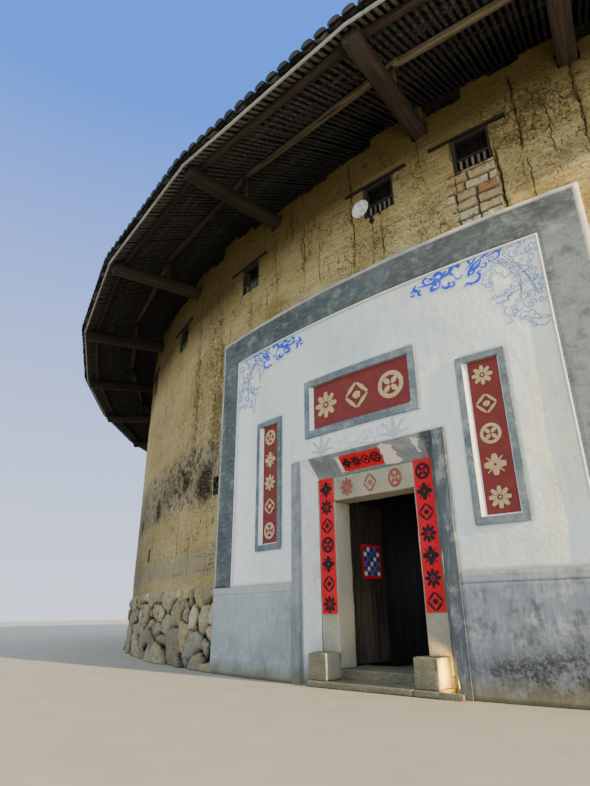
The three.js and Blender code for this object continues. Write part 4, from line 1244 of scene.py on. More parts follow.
# Cloud scrolls in the corner: place, size, turn
cornerClouds = [((1.3, -0.2), 0.15, 20), ((1.6, -0.1), 0.13, 60), ((1.8, -0.16), 0.1, 0),
                ((1.5, -0.33), 0.17, 150), ((1.74, -0.42), 0.15, 100), ((1.6, -0.62), 0.16, 30),
                ((1.82, -0.7), 0.11, 80), ((1.36, -0.72), 0.12, 200), ((1.46, -0.93), 0.18, 60),
                ((1.72, -0.93), 0.17, 10), ((1.6, -1.15), 0.13, 320), ((1.2, -0.45), 0.11, 90)]
# Long lines that sweep between the clouds: start, heading, length, bend, curl
sweeps = [((1.15, -0.02), -20, 1.0, -60, -40), ((1.18, -0.07), -24, 0.95, -60, -30),
          ((1.22, -0.12), -30, 0.85, -55, -20), ((1.62, -1.2), -60, 0.5, 40, 290),
          ((1.56, -1.1), -40, 0.45, 10, 90), ((1.4, -0.05), -60, 0.9, 30, -60),
          ((1.45, -0.04), -66, 0.9, 30, -60)]
# One cloud of unit size: three lobes, three volutes, two tails
cloudLines = [((-0.75, 0.0), 115, 1.1, -170, 0), ((-0.2, 0.5), 105, 1.05, -190, 0),
              ((0.4, 0.42), 75, 1.15, -190, 0), ((-0.75, 0.0), 265, 1.6, 150, 270),
              ((0.86, -0.1), 250, 1.4, -140, -270), ((0.05, -0.3), 60, 1.2, 120, 280),
              ((-0.9, -0.1), 240, 1.0, -60, -200), ((0.7, -0.55), 330, 1.0, 60, 200)]
# start and edge: where each corner's painting begins; reach: how long its strokes are; wash: how much
# wider than a stroke its pale edge is. The left corner has fewer sweeps, and no cloud below lowestLeft.
scrolls = {"start": 1.07, "edge": 5.6, "reach": {1: 1.0, -1: 0.98}, "line": 0.009, "wash": 2.3,
           "lowestLeft": -1.0, "sweeps": {1: 7, -1: 3}}
# Below the plaque: faded sprays either side, and flaked patches between them
sprays = {"places": ((-0.72, 3.4), (0.62, 3.4)), "half": 0.17}
flakes = {"count": 26, "across": (-0.5, 0.35), "up": (3.27, 3.45), "half": (0.02, 0.06), "squash": 0.8,
          "ragged": 0.03}


def addCloud(shapes, place, size, turn, origin, mirror):
    line = scrolls["line"] / size
    c, s = math.cos(math.radians(turn)), math.sin(math.radians(turn))
    for start, heading, length, bend, curl in cloudLines:
        spot = (start[0] * c - start[1] * s, start[0] * s + start[1] * c)
        for slot, wide, lift in ((2, 3.0, 0.0002), (1, 1.0, 0.0006)):
            addStroke(shapes, place, spot, heading + turn, length, bend, curl, line * wide, lift, slot,
                      taper=(0.8, 1, 0.7), size=size, at=origin, mirror=mirror)


def makeScrolls():
    shapes, place, p = Shapes(), places["panel"], scrolls
    for side in (1, -1):
        origin = (side * p["start"], p["edge"])
        for k, (start, heading, length, bend, curl, width) in enumerate(foliage):
            length *= p["reach"][side]
            for slot, wide, lift in ((2, p["wash"], 0.0001), (0, 1.0, 0.002)):
                addStroke(shapes, place, start, heading, length, bend, curl, width * wide,
                          lift + 0.0001 * k, slot, at=origin, mirror=side)
        for at, size, turn in cornerClouds:
            if side == 1 or at[1] > p["lowestLeft"]:
                addCloud(shapes, place, size, turn, (origin[0] + side * at[0], origin[1] + at[1]), side)
        for start, heading, length, bend, curl in sweeps[:p["sweeps"][side]]:
            addStroke(shapes, place, start, heading, length, bend, curl, p["line"], 0.0008, 1, 18,
                      (0.7, 1, 0.7), 1.0, origin, side)
    for at in sprays["places"]:
        addMotif(shapes, place, "palmette", at, sprays["half"], slot=3)
    rng = np.random.default_rng(12)
    for k in range(flakes["count"]):
        x, z, half = [rng.uniform(*flakes[key]) for key in ("across", "up", "half")]
        tall = half * flakes["squash"]
        addSheet(shapes, place, x - half, x + half, z - tall, z + tall, 0.001, 0.02, 0.003,
                 flakes["ragged"], 4, k)
    looks = [finish[k] for k in ("blue", "ink", "paleBlue", "faded", "white")]
    shapes.piece("paintedScrolls", looks, "limewash")


makeBoardMarks()
makeScrolls()
print("ornament made")


# Gateway: hewn granite, brushed surround, papers
hewn = {"bevel": 0.011, "step": 0.06}


def hewnBlock(low, high, seed, dent):
    bevel, step = hewn["bevel"], hewn["step"]
    low, high = np.array(low, float), np.array(high, float)
    axes = [gridLines([(low[k], high[k], step)], [low[k] + bevel, high[k] - bevel]) for k in range(3)]
    points, faces, total = [], [], 0
    for axis in range(3):
        u, v = (axis + 1) % 3, (axis + 2) % 3
        a, b = np.meshgrid(axes[u], axes[v], indexing="ij")
        for end in (0, 1):
            grid = np.zeros(a.shape + (3,))
            grid[..., u], grid[..., v], grid[..., axis] = a, b, (low, high)[end][axis]
            at = total + np.arange(a.size).reshape(a.shape)
            quads = np.stack([at[:-1, :-1], at[1:, :-1], at[1:, 1:], at[:-1, 1:]], axis=-1).reshape(-1, 4)
            faces.append(quads if end else quads[:, ::-1])
            points.append(grid.reshape(-1, 3))
            total += a.size
    merged, where = np.unique(np.round(np.concatenate(points), 5), axis=0, return_inverse=True)
    faces = where.ravel()[np.concatenate(faces)]
    inner = np.clip(merged, low + bevel, high - bevel)
    outward = merged - inner
    outward /= np.linalg.norm(outward, axis=1)[:, None]
    x, y, z = merged.T
    dents = dent * rough(x + 1.3 * y, z + 0.7 * y, 0.25, seed, 4)
    points = inner + outward * (bevel + dents - 0.4 * dent)[:, None]
    return {"points": points, "faces": faces.tolist(), "smooth": True}


# Node, granite, depth of its dents, corners of its blocks
granite = {
    "graniteJambLeft": ("granite_jamb_left", "granite", 0.006, [
        ((-1.03, -20.06, 0.2), (-0.71, -19.67, 2.55))]),
    "graniteJambRight": ("granite_jamb_right", "granite", 0.006, [
        ((0.71, -20.06, 0.2), (1.03, -19.67, 2.55))]),
    "graniteLintel": ("granite_lintel", "granite", 0.006, [
        ((-1.03, -20.06, 2.551), (1.03, -19.67, 2.92))]),
    "graniteSill": ("door_sill", "shadedSillGranite", 0.006, [((-1.03, -20.06, 0), (1.03, -19.3, 0.2))]),
    "graniteStep": ("doorstep", "shadedBlockGranite", 0.006, [
        ((-1.015, -20.47, 0), (0.68, -20.03, 0.075)), ((0.684, -20.47, 0), (1.03, -20.03, 0.074)),
        ((1.02, -20.47, 0), (1.33, -20.42, 0.073))]),
    "doorBlockLeft": ("door_block_left", "shadedBlockGranite", 0.012, [
        ((-1.01, -20.41, 0.073), (-0.68, -20.06, 0.42))]),
    "doorBlockRight": ("door_block_right", "shadedBlockGranite", 0.012, [
        ((0.68, -20.41, 0.073), (1.01, -20.06, 0.42))]),
}


# Painted marks carved on the lintel
carvings = {"across": (-0.45, -0.02, 0.42), "up": 2.735, "half": 0.145, "lift": 0.005, "squash": 0.8}


def makeGranite():
    c = carvings
    for k, (name, (node, stone, dent, blocks)) in enumerate(granite.items()):
        shapes = Shapes()
        for low, high in blocks:
            shapes.add(**hewnBlock(low, high, 90 + 7 * k, dent))
        if name == "graniteLintel":
            for kind, x in zip(motifOrder[1:], c["across"]):
                addMotif(shapes, places["granite"], kind, (x, c["up"]), c["half"], c["lift"], 1,
                         c["squash"])
        shapes.piece(name, [finish[stone], finish["carved"]], "granite", (node,))


def softened(node, bevel, material):
    # A copy of a CAD node with its sharp edges worn round
    work = bmesh.new()
    work.from_mesh(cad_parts[node].data)
    bmesh.ops.remove_doubles(work, verts=work.verts[:], dist=1e-5)
    flat, sharp = math.radians(1.5), math.radians(20)
    bmesh.ops.dissolve_limit(work, angle_limit=flat, verts=work.verts[:], edges=work.edges[:])
    edges = [e for e in work.edges if len(e.link_faces) == 2 and e.calc_face_angle() > sharp]
    bmesh.ops.bevel(work, geom=edges, offset=bevel * modelScale, segments=2, affect="EDGES",
                    clamp_overlap=True)
    bmesh.ops.triangulate(work, faces=work.faces[:])
    for face in work.faces:
        face.smooth = False
    mesh = bpy.data.meshes.new(node + "Worn")
    work.to_mesh(mesh)
    work.free()
    makePiece(node + "Worn", mesh, material, (node,))


papers = {"left": (-1.0, -0.715), "right": (0.74, 1.02), "low": 0.92, "high": 2.92, "lift": 0.009,
          "marks": 7, "fromTop": 0.17, "ends": 0.3, "markHalf": 0.122, "markLift": 0.0145, "squash": 0.95}
# Marks on the paper over the door
soffitMarks = {"count": 4, "first": -0.33, "step": 0.178, "up": 0.195, "half": 0.088, "lift": 0.0125}
# The paper over the door and scraps of old ones: place, span across and up, lift, ragged edge, slot, seed
loosePapers = [
    ("soffit", (-0.43, 0.3, 0.06, 0.33), 0.007, 0.0, 0, 31),
    ("soffit", (-0.5, -0.4, 0.05, 0.35), 0.004, 0.03, 2, 33),
    ("soffit", (0.33, 0.56, 0.03, 0.36), 0.003, 0.05, 2, 34),
    ("soffit", (0.86, 0.94, 0.15, 0.35), 0.003, 0.04, 2, 35),
    ("leftSplay", (0.17, 0.27, 1.4, 1.62), 0.006, 0.05, 2, 36),
    ("rightSplay", (0.12, 0.22, 1.36, 1.66), 0.006, 0.05, 2, 37)]


def makePapers():
    p, m, shapes = papers, soffitMarks, Shapes()
    step = (p["high"] - p["low"] - p["ends"]) / (p["marks"] - 1)
    for k, (x0, x1) in enumerate((p["left"], p["right"])):
        addSheet(shapes, places["granite"], x0, x1, p["low"], p["high"], p["lift"], seed=20 + k)
        for i in range(p["marks"]):
            at = ((x0 + x1) / 2, p["high"] - p["fromTop"] - i * step)
            kind = motifOrder[(i + 3 * k) % len(motifOrder)]
            addMotif(shapes, places["granite"], kind, at, p["markHalf"], p["markLift"], 1, p["squash"])
    for i in range(m["count"]):
        at = (m["first"] + m["step"] * i, m["up"])
        addMotif(shapes, places["soffit"], motifOrder[i], at, m["half"], m["lift"], 1)
    for place, spread, lift, ragged, slot, seed in loosePapers:
        addSheet(shapes, places[place], *spread, lift, ragged=ragged, slot=slot, seed=seed)
    shapes.piece("doorPapers", [finish["paper"], finish["black"], finish["scrap"]], "painted_board")


leaf = {"pivot": 0.8, "y": -19.61, "width": 0.79, "thick": 0.06, "low": 0.225, "high": 2.6, "planks": 4,
        "tones": (0.5, 0.8, 0.35, 0.5), "gap": 0.005, "offset": 0.002, "shadeFrom": 1.0,
        "fromPivot": 0.03, "stile": 0.043, "rails": (0.55, 1.4, 2.25), "railHalf": 0.05,
        "railBack": 0.008, "railEnd": 0.01, "plankBack": 0.02}
# Print on the left leaf: a papered border round rows of small motifs
leafPrint = {"border": (0.245, 0.685, 1.43, 1.95), "field": (0.285, 0.645, 1.47, 1.91), "across": 5,
             "up": 6, "first": (0.318, 1.505), "step": 0.074, "half": 0.04, "slots": (2, 4, 3, 4),
             "lifts": (0.033, 0.036, 0.04), "wave": 0.0015}


def makeLeaves():
    f, thick = leaf, leaf["thick"]
    wide = (f["width"] - f["fromPivot"]) / f["planks"]
    for side, sign in (("left", -1), ("right", 1)):
        shapes = Shapes()
        for i in range(f["planks"]):
            a = f["fromPivot"] + wide * i
            x0, x1 = sorted((-sign * a, -sign * (a + wide - f["gap"])))
            out = f["offset"] * (i % 2)
            plank = boxShape((x0, out - thick / 2, f["low"]), (x1, thick / 2 - f["plankBack"], f["high"]))
            # Painted shade: the leaf's upper half is drawn dark, under the lintel
            shadedTop = plank["points"][:, 2] > f["shadeFrom"]
            shapes.add(**plank, tone=np.where(shadedTop, -0.5, f["tones"][i]))
        x0, x1 = sorted((-sign * f["fromPivot"], -sign * (f["width"] - f["railEnd"])))
        for z in f["rails"]:
            low, high = z - f["railHalf"], z + f["railHalf"]
            shapes.add(**boxShape((x0, f["railBack"], low), (x1, thick / 2, high)))
        ends = (0, 0, f["low"] - 0.01), (0.0001, 0, f["high"])
        stile = logShape(*ends, (f["stile"], f["stile"]), 10, 8, 3, wander=0.0)
        shapes.add(**stile, tone=0.4)
        spin = Matrix.Rotation(-sign * leafTurn, 4, "Z")
        shift = Matrix.Translation((sign * f["pivot"] * modelScale, f["y"] * modelScale, 0))
        mesh = shapes.mesh("doorLeaf" + side)
        mesh.transform(shift @ spin)
        makePiece("doorLeaf_" + side, mesh, finish["plank"], ("door_leaf_" + side,),
                  side + "_leaf")
    shapes, place, p = Shapes(), places["leaf"], leafPrint
    paper, field, marks = p["lifts"]
    addSheet(shapes, place, *p["border"], paper, seed=50)
    addSheet(shapes, place, *p["field"], field, wave=p["wave"], slot=1, seed=50)
    for i in range(p["across"]):
        for j in range(p["up"]):
            k = (i + 3 * j) % 4
            at = (p["first"][0] + p["step"] * i, p["first"][1] + p["step"] * j)
            addMotif(shapes, place, motifOrder[k], at, p["half"], marks, p["slots"][k])
    looks = [finish[k] for k in ("paper", "print", "white", "blue", "black")]
    shapes.piece("leafPrint", looks, "painted_board", (), "left_leaf")


makeGranite()
softened("door_surround", 0.008, finish["surround"])
softened("door_head", 0.01, finish["hall"])
makePapers()
makeLeaves()
print("gateway made")


# Roof timbers: round logs, hewn square at the eave end, under lapped poles
timbers = {"beamRadius": (0.125, 0.142), "pole": 0.074, "lap": 0.14, "eavePurlin": 22.16,
           "overhang": 21.05, "strut": 0.055, "strutFoot": 0.1, "strutHead": 0.16}


def ringAt(angle, radius, z):
    a = math.radians(angle)
    return (radius * math.sin(a), -radius * math.cos(a), z)


def addPoles(shapes, radius, seed):
    t = timbers
    z = underRoof(radius) - t["pole"] * (1 + roof["slope"])
    rng = np.random.default_rng(seed)
    for k in range(len(closedAngles) - 1):
        start, end = [np.array(ringAt(a, radius, z)) for a in closedAngles[k:k + 2]]
        along = (end - start) / np.linalg.norm(end - start) * t["lap"]
        size = [t["pole"] * 1.02, t["pole"] * 0.86][::1 if k % 2 else -1]
        shapes.add(**logShape(start - along, end + along, size, 10, 8, seed + k), tone=rng.random(),
                   smooth=True)


def makeTimbers():
    t = timbers
    z = beams["bottom"] + beams["size"] / 2
    shapes = Shapes()
    for k, angle in enumerate(beamAngles):
        ends = [ringAt(angle, beams[end], z) for end in ("inner", "outer")]
        shapes.add(**logShape(*ends, t["beamRadius"], 12, 14, 5 + k, 0.7), tone=(k * 0.37) % 1,
                   smooth=True)
    addPoles(shapes, t["eavePurlin"], 200)
    shapes.piece("roofBeams", finish["log"], "weathered_timber", ("roof_beams_right", "roof_beams_left"))
    shapes = Shapes()
    addPoles(shapes, t["overhang"], 300)
    for k, angle in enumerate(beamAngles):
        foot = ringAt(angle, t["overhang"], z + t["strutFoot"])
        head = ringAt(angle + 0.001, t["overhang"], underRoof(t["overhang"]) - t["strutHead"])
        shapes.add(**logShape(foot, head, (t["strut"], t["strut"] * 0.9), 8, 3, 400 + k, 0.8), tone=0.3,
                   smooth=True)
    shapes.piece("overhangPurlin", finish["pole"], "weathered_timber", ("purlin_overhang",))


makeTimbers()
print("roof timbers made")


# Roof: slats, stepped tile undersides, cover tiles, fascia and ridge
tiles = {"rows": 15, "innerRows": 10, "shellLow": 0.075, "shellHigh": 0.115, "eave": 22.6, "course": 0.36,
         "rise": 0.025, "half": 0.1, "height": 0.085, "slatHalf": 0.028, "slatThick": 0.022,
         "lip": 0.03, "sink": 0.01, "fromRidge": 0.1, "shellBack": 0.03, "underHalf": 0.11,
         "underCourse": 0.125, "underStep": 0.014, "underLow": 0.03, "underDish": 0.035,
         "underBack": 0.02, "slatEave": 22.5, "innerEave": 11.87, "wallSide": 20.1, "usualBay": 9.55}
fascia = ((22.475, 8.548), (22.51, 8.54), (22.51, 8.59), (22.475, 8.6))


def rowPlaces(angles, perBay):
    # Turns and stretches of rows set evenly across the flat bays, more of them in a wider bay
    turns, stretches = [], []
    for low, high in zip(angles, angles[1:]):
        mid, reach = (low + high) / 2, math.radians((high - low) / 2)
        count = max(4, round(perBay * (high - low) / tiles["usualBay"]))
        for k in range(count):
            offset = math.atan((2 * (k + 0.5) / count - 1) * math.tan(reach))
            turns.append(mid + math.degrees(offset))
            stretches.append(math.cos(reach) / math.cos(offset))
    return turns, stretches


def coverRow(start, end, rise):
    # Half-round tiles from the eave to the ridge, each lapping over the one below
    t = tiles
    count = round(abs(end - start) / t["course"] * math.hypot(1, roof["slope"]))
    edges = np.linspace(start, end, count + 1)
    shapes = Shapes()
    for k in range(count):
        arc = np.radians((0, 30, 60, 90, 120, 150, 180) if k < 2 else (0, 55, 125, 180))
        n = len(arc)
        rings = []
        for r, up, grow in ((edges[k], rise, 1.08), (edges[k + 1], 0.0, 0.92)):
            base = underRoof(r) + t["shellHigh"] - t["sink"]
            rings.append(np.stack([t["half"] * grow * np.cos(arc), np.full(n, -r),
                                   base + up + t["height"] * grow * np.sin(arc)], axis=1))
        points = np.concatenate([rings[0] - (0, 0, t["lip"]), *rings])
        faces = [[i, i + 1, i + n + 1, i + n] for ring in (0, n) for i in range(ring, ring + n - 1)]
        if k == 0:
            faces.append(list(range(n))[::-1])
        if end < start:
            faces = [face[::-1] for face in faces]
        shapes.add(points, faces)
    return shapes.mesh("coverRow")


def underRow(start, end):
    # A row of shallow tiles from below, stepping down at each course
    t = tiles
    count = round(abs(start - end) / t["underCourse"])
    edges = np.linspace(start, end, count + 1)
    points, faces, courses = [], [], []
    for k in range(count):
        for r, drop in ((edges[k], 0.0), (edges[k + 1], t["underStep"])):
            z = underRoof(r) + t["underLow"] + drop
            rim = z + t["underDish"]
            points += [(-t["underHalf"], -r, rim), (0, -r, z), (t["underHalf"], -r, rim)]
            courses += [k / count] * 3
        b = 6 * k
        faces += [[b, b + 3, b + 4, b + 1], [b + 1, b + 4, b + 5, b + 2]]
        if k:
            faces += [[b - 3, b, b + 1, b - 2], [b - 2, b + 1, b + 2, b - 1]]
    return buildMesh("underRow", points, faces, False, {"course": courses})


def slat(start, end):
    half, thick = tiles["slatHalf"], tiles["slatThick"]
    points = [(x, -r, underRoof(r) + up)
              for r in (start, end) for x in (-half, half) for up in (0.0, thick)]
    faces = [[0, 2, 3, 1], [4, 5, 7, 6], [0, 4, 6, 2], [1, 3, 7, 5], [0, 1, 5, 4], [2, 6, 7, 3]]
    shapes = Shapes()
    shapes.add(points, faces, grain=[(p[1], p[0], p[2]) for p in points])
    return shapes.mesh("slat")


def ringShell(profile, angles):
    # A closed profile of (radius, z), counter-clockwise, swept from angle to angle with flat bays
    n = len(profile)
    points = [ringAt(a, r, z) for a in angles for r, z in profile]
    faces = [[k * n + i, (k + 1) * n + i, (k + 1) * n + (i + 1) % n, k * n + (i + 1) % n]
             for k in range(len(angles) - 1) for i in range(n)]
    faces.append(list(range(n)))
    faces.append([(len(angles) - 1) * n + i for i in range(n)][::-1])
    return {"points": points, "faces": faces}


def makeRoof():
    t = tiles
    edges = (t["eave"] - t["shellBack"], roof["ridge"], t["innerEave"] + t["shellBack"])
    line = [(r, underRoof(r)) for r in edges]
    profile = [(r, z + t["shellLow"]) for r, z in line] + [(r, z + t["shellHigh"]) for r, z in line[::-1]]
    outer = coverRow(t["eave"], roof["ridge"] + t["fromRidge"], t["rise"])
    inner = coverRow(t["innerEave"], roof["ridge"] - t["fromRidge"], t["rise"])
    rows = {"coverTiles": (outer, t["rows"], 60), "yardTiles": (inner, t["innerRows"], 70)}
    for k, (side, angles) in enumerate(quarters.items()):
        shapes = Shapes()
        shapes.add(**ringShell(profile[::-1], angles))
        shapes.piece("roofShell_" + side, finish["underTile"], "roof_tile", ("tile_roof_" + side,))
        for name, (row, perBay, seed) in rows.items():
            turns, stretches = rowPlaces(angles, perBay)
            repeated(name + "_" + side, row.copy(), turns, finish["coverTile"], stretches,
                     0.0004, seed + k)
    turns, stretches = rowPlaces(closedAngles, t["rows"])
    row = underRow(t["eave"] - t["underBack"], t["wallSide"])
    repeated("underTiles", row, turns, finish["underTile"], stretches, 0.0003, 81)
    turns, stretches = rowPlaces(closedAngles, t["rows"] * 2)
    row = slat(t["slatEave"], roof["ridge"])
    repeated("slats", row, turns, finish["slat"], stretches, 0.0006, 82)
    shapes = Shapes()
    shapes.add(**ringShell(fascia, closedAngles))
    shapes.piece("fascia", finish["fascia"], "weathered_timber")


makeRoof()
print("roof made")


# Ridge: two courses of flat tiles under a row of lapped half-round caps
ridge = {"base": 0.115, "capLength": 0.32, "capHalf": 0.12, "capHeight": 0.1, "capBase": 0.125,
         "lap": 0.03, "courses": ((0, -0.01), (0.17, -0.09), (0.17, 0.02), (0.15, 0.03), (0.15, 0.07),
                                  (0.13, 0.08), (0.13, 0.12), (0.1, 0.14))}


def makeRidge():
    r, z = roof["ridge"], roof["ridgeUnder"] + ridge["base"]
    profile = [(r + out, z + up) for out, up in ridge["courses"]]
    profile += [(2 * r - a, b) for a, b in profile[:0:-1]]
    shapes = Shapes()
    shapes.add(**ringShell(profile, closedAngles))
    shapes.piece("roofRidge", finish["coverTile"], "roof_tile", ("roof_ridge",))
    shapes = Shapes()
    half = ridge["capLength"] / 2
    arc = np.radians(np.linspace(0, 180, 7))
    points = [(x, -r + ridge["capHalf"] * grow * math.cos(a),
               z + ridge["capBase"] + ridge["capHeight"] * grow * math.sin(a))
              for x, grow in ((-half - ridge["lap"], 0.93), (half, 1.07)) for a in arc]
    faces = [[i, i + 1, i + 8, i + 7] for i in range(6)] + [list(range(7))[::-1], list(range(7, 14))]
    shapes.add(points, faces)
    perBay = round(2 * math.pi * r / len(windowAngles) / ridge["capLength"])
    turns, stretches = rowPlaces(closedAngles, perBay)
    repeated("ridgeCaps", shapes.mesh("ridgeCap"), turns, finish["coverTile"], stretches,
             0.0003, 91)


makeRidge()


# Windows: a low frame set in the wall, with a rail and square bars below it, and a board over the top
window = {"half": 0.305, "low": 7.24, "high": 7.93, "middle": 7.6, "rail": 7.47, "recess": -0.005,
          "depth": 0.09, "stile": 0.055, "sill": 0.05, "railThick": 0.035, "inset": 0.005}
windowBars = {"count": 5, "step": 0.092, "half": 0.02, "back": 0.03, "depth": 0.02, "bevel": 0.004,
              "intoSill": 0.02, "intoRail": 0.01}
# The planks behind each window, near black as painted shade inside it, and the board over it, whose right
# end is shorter
shutterPlanks = {"back": 0.09, "thick": 0.03, "count": 3, "step": 0.2, "wide": 0.19, "first": 0.01}
windowBoard = {"half": 0.67, "shorter": 0.1, "proud": 0.06, "wallAt": 7.95, "depth": 0.3, "low": 7.9,
               "high": 7.943}


def makeWindows():
    w, b, p, o = window, windowBars, shutterPlanks, windowBoard
    half, low, high, rail, inset = w["half"], w["low"], w["high"], w["rail"], w["inset"]
    front = -(wallRadiusAt(w["middle"]) - w["recess"])
    back = front + w["depth"]
    frames, bars, shutter = Shapes(), Shapes(), Shapes()
    frames.add(**boxShape((-half, front, low), (-half + w["stile"], back, high)))
    frames.add(**boxShape((half - w["stile"], front, low), (half, back, high)), tone=0.6)
    reach = half - w["stile"] + inset
    for z, thick in ((low, w["sill"]), (rail, w["railThick"]), (high - w["sill"], w["sill"])):
        frames.add(**boxShape((-reach, front + inset, z), (reach, back - inset, z + thick)), tone=0.4)
    start, stop = front + b["back"], front + b["back"] + b["depth"]
    for k in range(b["count"]):
        x = (k - (b["count"] - 1) / 2) * b["step"]
        foot, head = low + w["sill"] - b["intoSill"], rail + b["intoRail"]
        corners = (x - b["half"], start, foot), (x + b["half"], stop, head)
        bars.add(**boxShape(*corners, b["bevel"]), tone=0.6)
    behind = back + p["back"]
    for k in range(p["count"]):
        x = -half + p["first"] + p["step"] * k
        shutter.add(**boxShape((x, behind, low), (x + p["wide"], behind + p["thick"], high)))
    face = -(wallRadiusAt(o["wallAt"]) + o["proud"])
    corners = (-o["half"], face, o["low"]), (o["half"] - o["shorter"], face + o["depth"], o["high"])
    frames.add(**boxShape(*corners), tone=0.0)
    for name, shapes, look, sway, seed in (("windowFrames", frames, "frame", 0.0004, 95),
                                           ("windowBars", bars, "bar", 0.0, 97),
                                           ("windowShutters", shutter, "shutter", 0.0, 96)):
        repeated(name, shapes.mesh(name + "One"), windowAngles, finish[look], sway=sway,
                 seed=seed)


makeWindows()


# Lamp: an enamelled dish with a rolled rim and a bulb glass, on a bent arm
lamp = {"centre": (0.534, 7.135), "face": -20.644, "foot": (0.5, -20.25, 7.15), "sides": 32,
        "bend": (0.02, 0.07, -0.05), "arm": 0.012, "neck": (0.016, 0.02), "neckBack": 0.05,
        "plate": 0.045,
        "profile": ((0.0, 0.035), (0.05, 0.033), (0.09, 0.026), (0.13, 0.012), (0.15, 0.0),
                    (0.16, -0.006), (0.163, 0.004), (0.15, 0.014), (0.125, 0.034), (0.08, 0.052),
                    (0.04, 0.062), (0.0, 0.064))}


def makeLamp():
    (x, z), face, sides, profile = lamp["centre"], lamp["face"], lamp["sides"], lamp["profile"]
    shapes = Shapes()
    points = [(x + r * math.cos(a), face + d, z + r * math.sin(a))
              for r, d in profile for a in np.linspace(0, 2 * math.pi, sides, endpoint=False)]
    faces = [[i + j, i + (j + 1) % sides, i + sides + (j + 1) % sides, i + sides + j]
             for i in range(0, sides * (len(profile) - 1), sides) for j in range(sides)]
    shapes.add(points, faces, smooth=True)
    foot, bend = np.array(lamp["foot"]), np.array((x, face, z)) + lamp["bend"]
    arm = logShape(foot, bend, (lamp["arm"],) * 2, 8, 4, 2, wander=0.02)
    neck = logShape(bend, (x, face + lamp["neckBack"], z), lamp["neck"], 8, 2, 2, wander=0.0)
    plate = logShape(foot - (0, 0.012, 0), foot + (0.0001, 0.02, 0), (lamp["plate"],) * 2, 12, 1, 2,
                     wander=0.0)
    shapes.add(**arm, slot=1, smooth=True)
    shapes.add(**neck, slot=1, smooth=True)
    shapes.add(**plate, slot=1)
    shapes.piece("wallLamp", [finish["lamp"], finish["frame"]], "lamp_shade", ("wall_lamp",))


makeLamp()
print("ridge, windows and lamp made")


# The CAD pieces that still show are old timber
shownNodes = {
    "post": ("gallery_posts_right", "gallery_posts_left", "gallery_rail_first", "gallery_rail_second",
             "passage_lintel"),
    "purlin": ("purlin_wall", "purlin_ridge", "purlin_yard"),
    "floor": ("first_floor", "second_floor"),
    "hall": ("hall_partition_left", "hall_partition_right"),
}
for key, names in shownNodes.items():
    for name in names:
        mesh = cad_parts[name].data
        mesh.materials.clear()
        mesh.materials.append(finish[key])


# Camera, from the fit of the photograph
view = {"place": (2.3153, -13.4026, 0.4685), "yaw": 42.2945, "pitch": 21.8225, "roll": -0.7819,
        "lens": 25.144}


def placeCamera():
    y, p, r = [math.radians(view[k]) for k in ("yaw", "pitch", "roll")]
    ahead = Vector((-math.sin(y) * math.cos(p), math.cos(y) * math.cos(p), math.sin(p)))
    side = Vector((math.cos(y), math.sin(y), 0))
    over = side.cross(ahead)
    right = math.cos(r) * side + math.sin(r) * over
    up = -math.sin(r) * side + math.cos(r) * over
    data = bpy.data.cameras.new("photoCamera")
    data.lens, data.sensor_width, data.clip_end = view["lens"], 36, 200
    camera = bpy.data.objects.new("photoCamera", data)
    bpy.context.scene.collection.objects.link(camera)
    turn = Matrix((right, up, -ahead)).transposed().to_4x4()
    camera.matrix_world = Matrix.Translation(view["place"]) @ turn
    bpy.context.scene.camera = camera


placeCamera()


# Light: open blue shade on the gate side, with a low sun behind the facade's plane, from the right
sky = {"light": "#c3d3e5", "strength": 2.15, "zenith": "#4c86f5", "horizon": "#dee8f8", "seen": 1.5}
sun = {"shade": "#ffdfa6", "strength": 14.5, "angle": 0.6, "azimuth": 91.2, "height": 15.5}
# Small lights: the sun's glint on the outer side of the right door block, sunlight thrown up from in
# front, and daylight from the yard that reaches the hall
glint = {"place": (1.22, -20.37, 0.27), "from": (0.2, -0.11, 0.03), "size": (0.02, 0.16), "spread": 74,
         "power": 2.6, "shade": "#ffce62"}
bounce = {"place": (8.0, -28.5, 0.5), "from": (6.5, -8.1, -7.1), "size": (2.5, 2.5), "spread": 100,
          "power": 70.0, "shade": "#f6f2ea"}
hallGlow = {"place": (-0.6, -16.6, 1.6), "radius": 0.3, "power": 2.4, "shade": "#d6e0f0"}


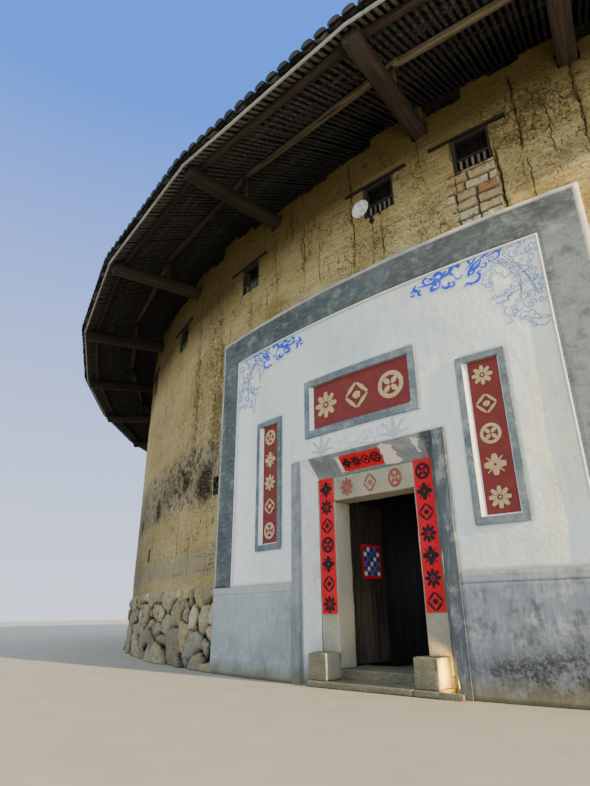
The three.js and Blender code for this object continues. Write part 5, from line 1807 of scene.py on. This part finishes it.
def placeSky():
    world = bpy.data.worlds.new("openSky")
    world.use_nodes = True
    tree = world.node_tree
    lighting = tree.nodes["Background"]
    lighting.inputs[0].default_value = linear(sky["light"])
    lighting.inputs[1].default_value = sky["strength"]
    add = partial(addNode, tree)
    rise = add("split", add("place", out="Generated"), out=2)
    seen = add("ShaderNodeBackground", {
        0: add("mix", add("range", rise, 0.0, 0.75), sky["horizon"], sky["zenith"]), 1: sky["seen"]})
    ray = add("ShaderNodeLightPath", out="Is Camera Ray")
    both = add("ShaderNodeMixShader", {0: ray, 1: lighting.outputs[0], 2: seen})
    tree.links.new(both, tree.nodes["World Output"].inputs[0])
    bpy.context.scene.world = world


def placeLight(name, kind, shade, power, place=(0, 0, 0), towards=(0, 0, 1), **settings):
    data = bpy.data.lights.new(name, kind)
    data.color, data.energy = linear(shade)[:3], power
    for label, value in settings.items():
        setattr(data, label, value)
    source = bpy.data.objects.new(name, data)
    source.location = Vector(place) * modelScale
    source.rotation_euler = Vector(towards).to_track_quat("Z", "Y").to_euler()
    source.visible_camera = kind == "SUN"
    bpy.context.scene.collection.objects.link(source)


def placeLights():
    a, h = math.radians(sun["azimuth"]), math.radians(sun["height"])
    towards = (math.cos(h) * math.sin(a), -math.cos(h) * math.cos(a), math.sin(h))
    placeLight("lowSun", "SUN", sun["shade"], sun["strength"], towards=towards,
               angle=math.radians(sun["angle"]))
    for name, g in (("blockGlint", glint), ("frontBounce", bounce)):
        placeLight(name, "AREA", g["shade"], g["power"], g["place"], g["from"], shape="RECTANGLE",
                   size=g["size"][0], size_y=g["size"][1], spread=math.radians(g["spread"]))
    placeLight("hallGlow", "POINT", hallGlow["shade"], hallGlow["power"], hallGlow["place"],
               shadow_soft_size=hallGlow["radius"])


placeSky()
placeLights()


# Pale floor to stand on, just below the house and not part of it
floor = {"half": 60, "below": 0.002, "low": "#8e897c", "high": "#a5a093"}


def layFloor():
    material, add, shader = startMaterial("paleGround", 0.9)
    grain = add("noise", realPosition(add), 1.5, 5)
    body = add("mix", grain, floor["low"], floor["high"])
    finishMaterial(material, add, shader, body, ((grain, 0.002),))
    half = floor["half"]
    mesh = bpy.data.meshes.new("ground")
    mesh.from_pydata([(-half, -half, 0), (half, -half, 0), (half, half, 0), (-half, half, 0)], [],
                     [(0, 1, 2, 3)])
    mesh.materials.append(material)
    ground = bpy.data.objects.new("ground", mesh)
    ground.location.z = -floor["below"]
    bpy.context.scene.collection.objects.link(ground)


layFloor()
print("camera, light and ground placed")
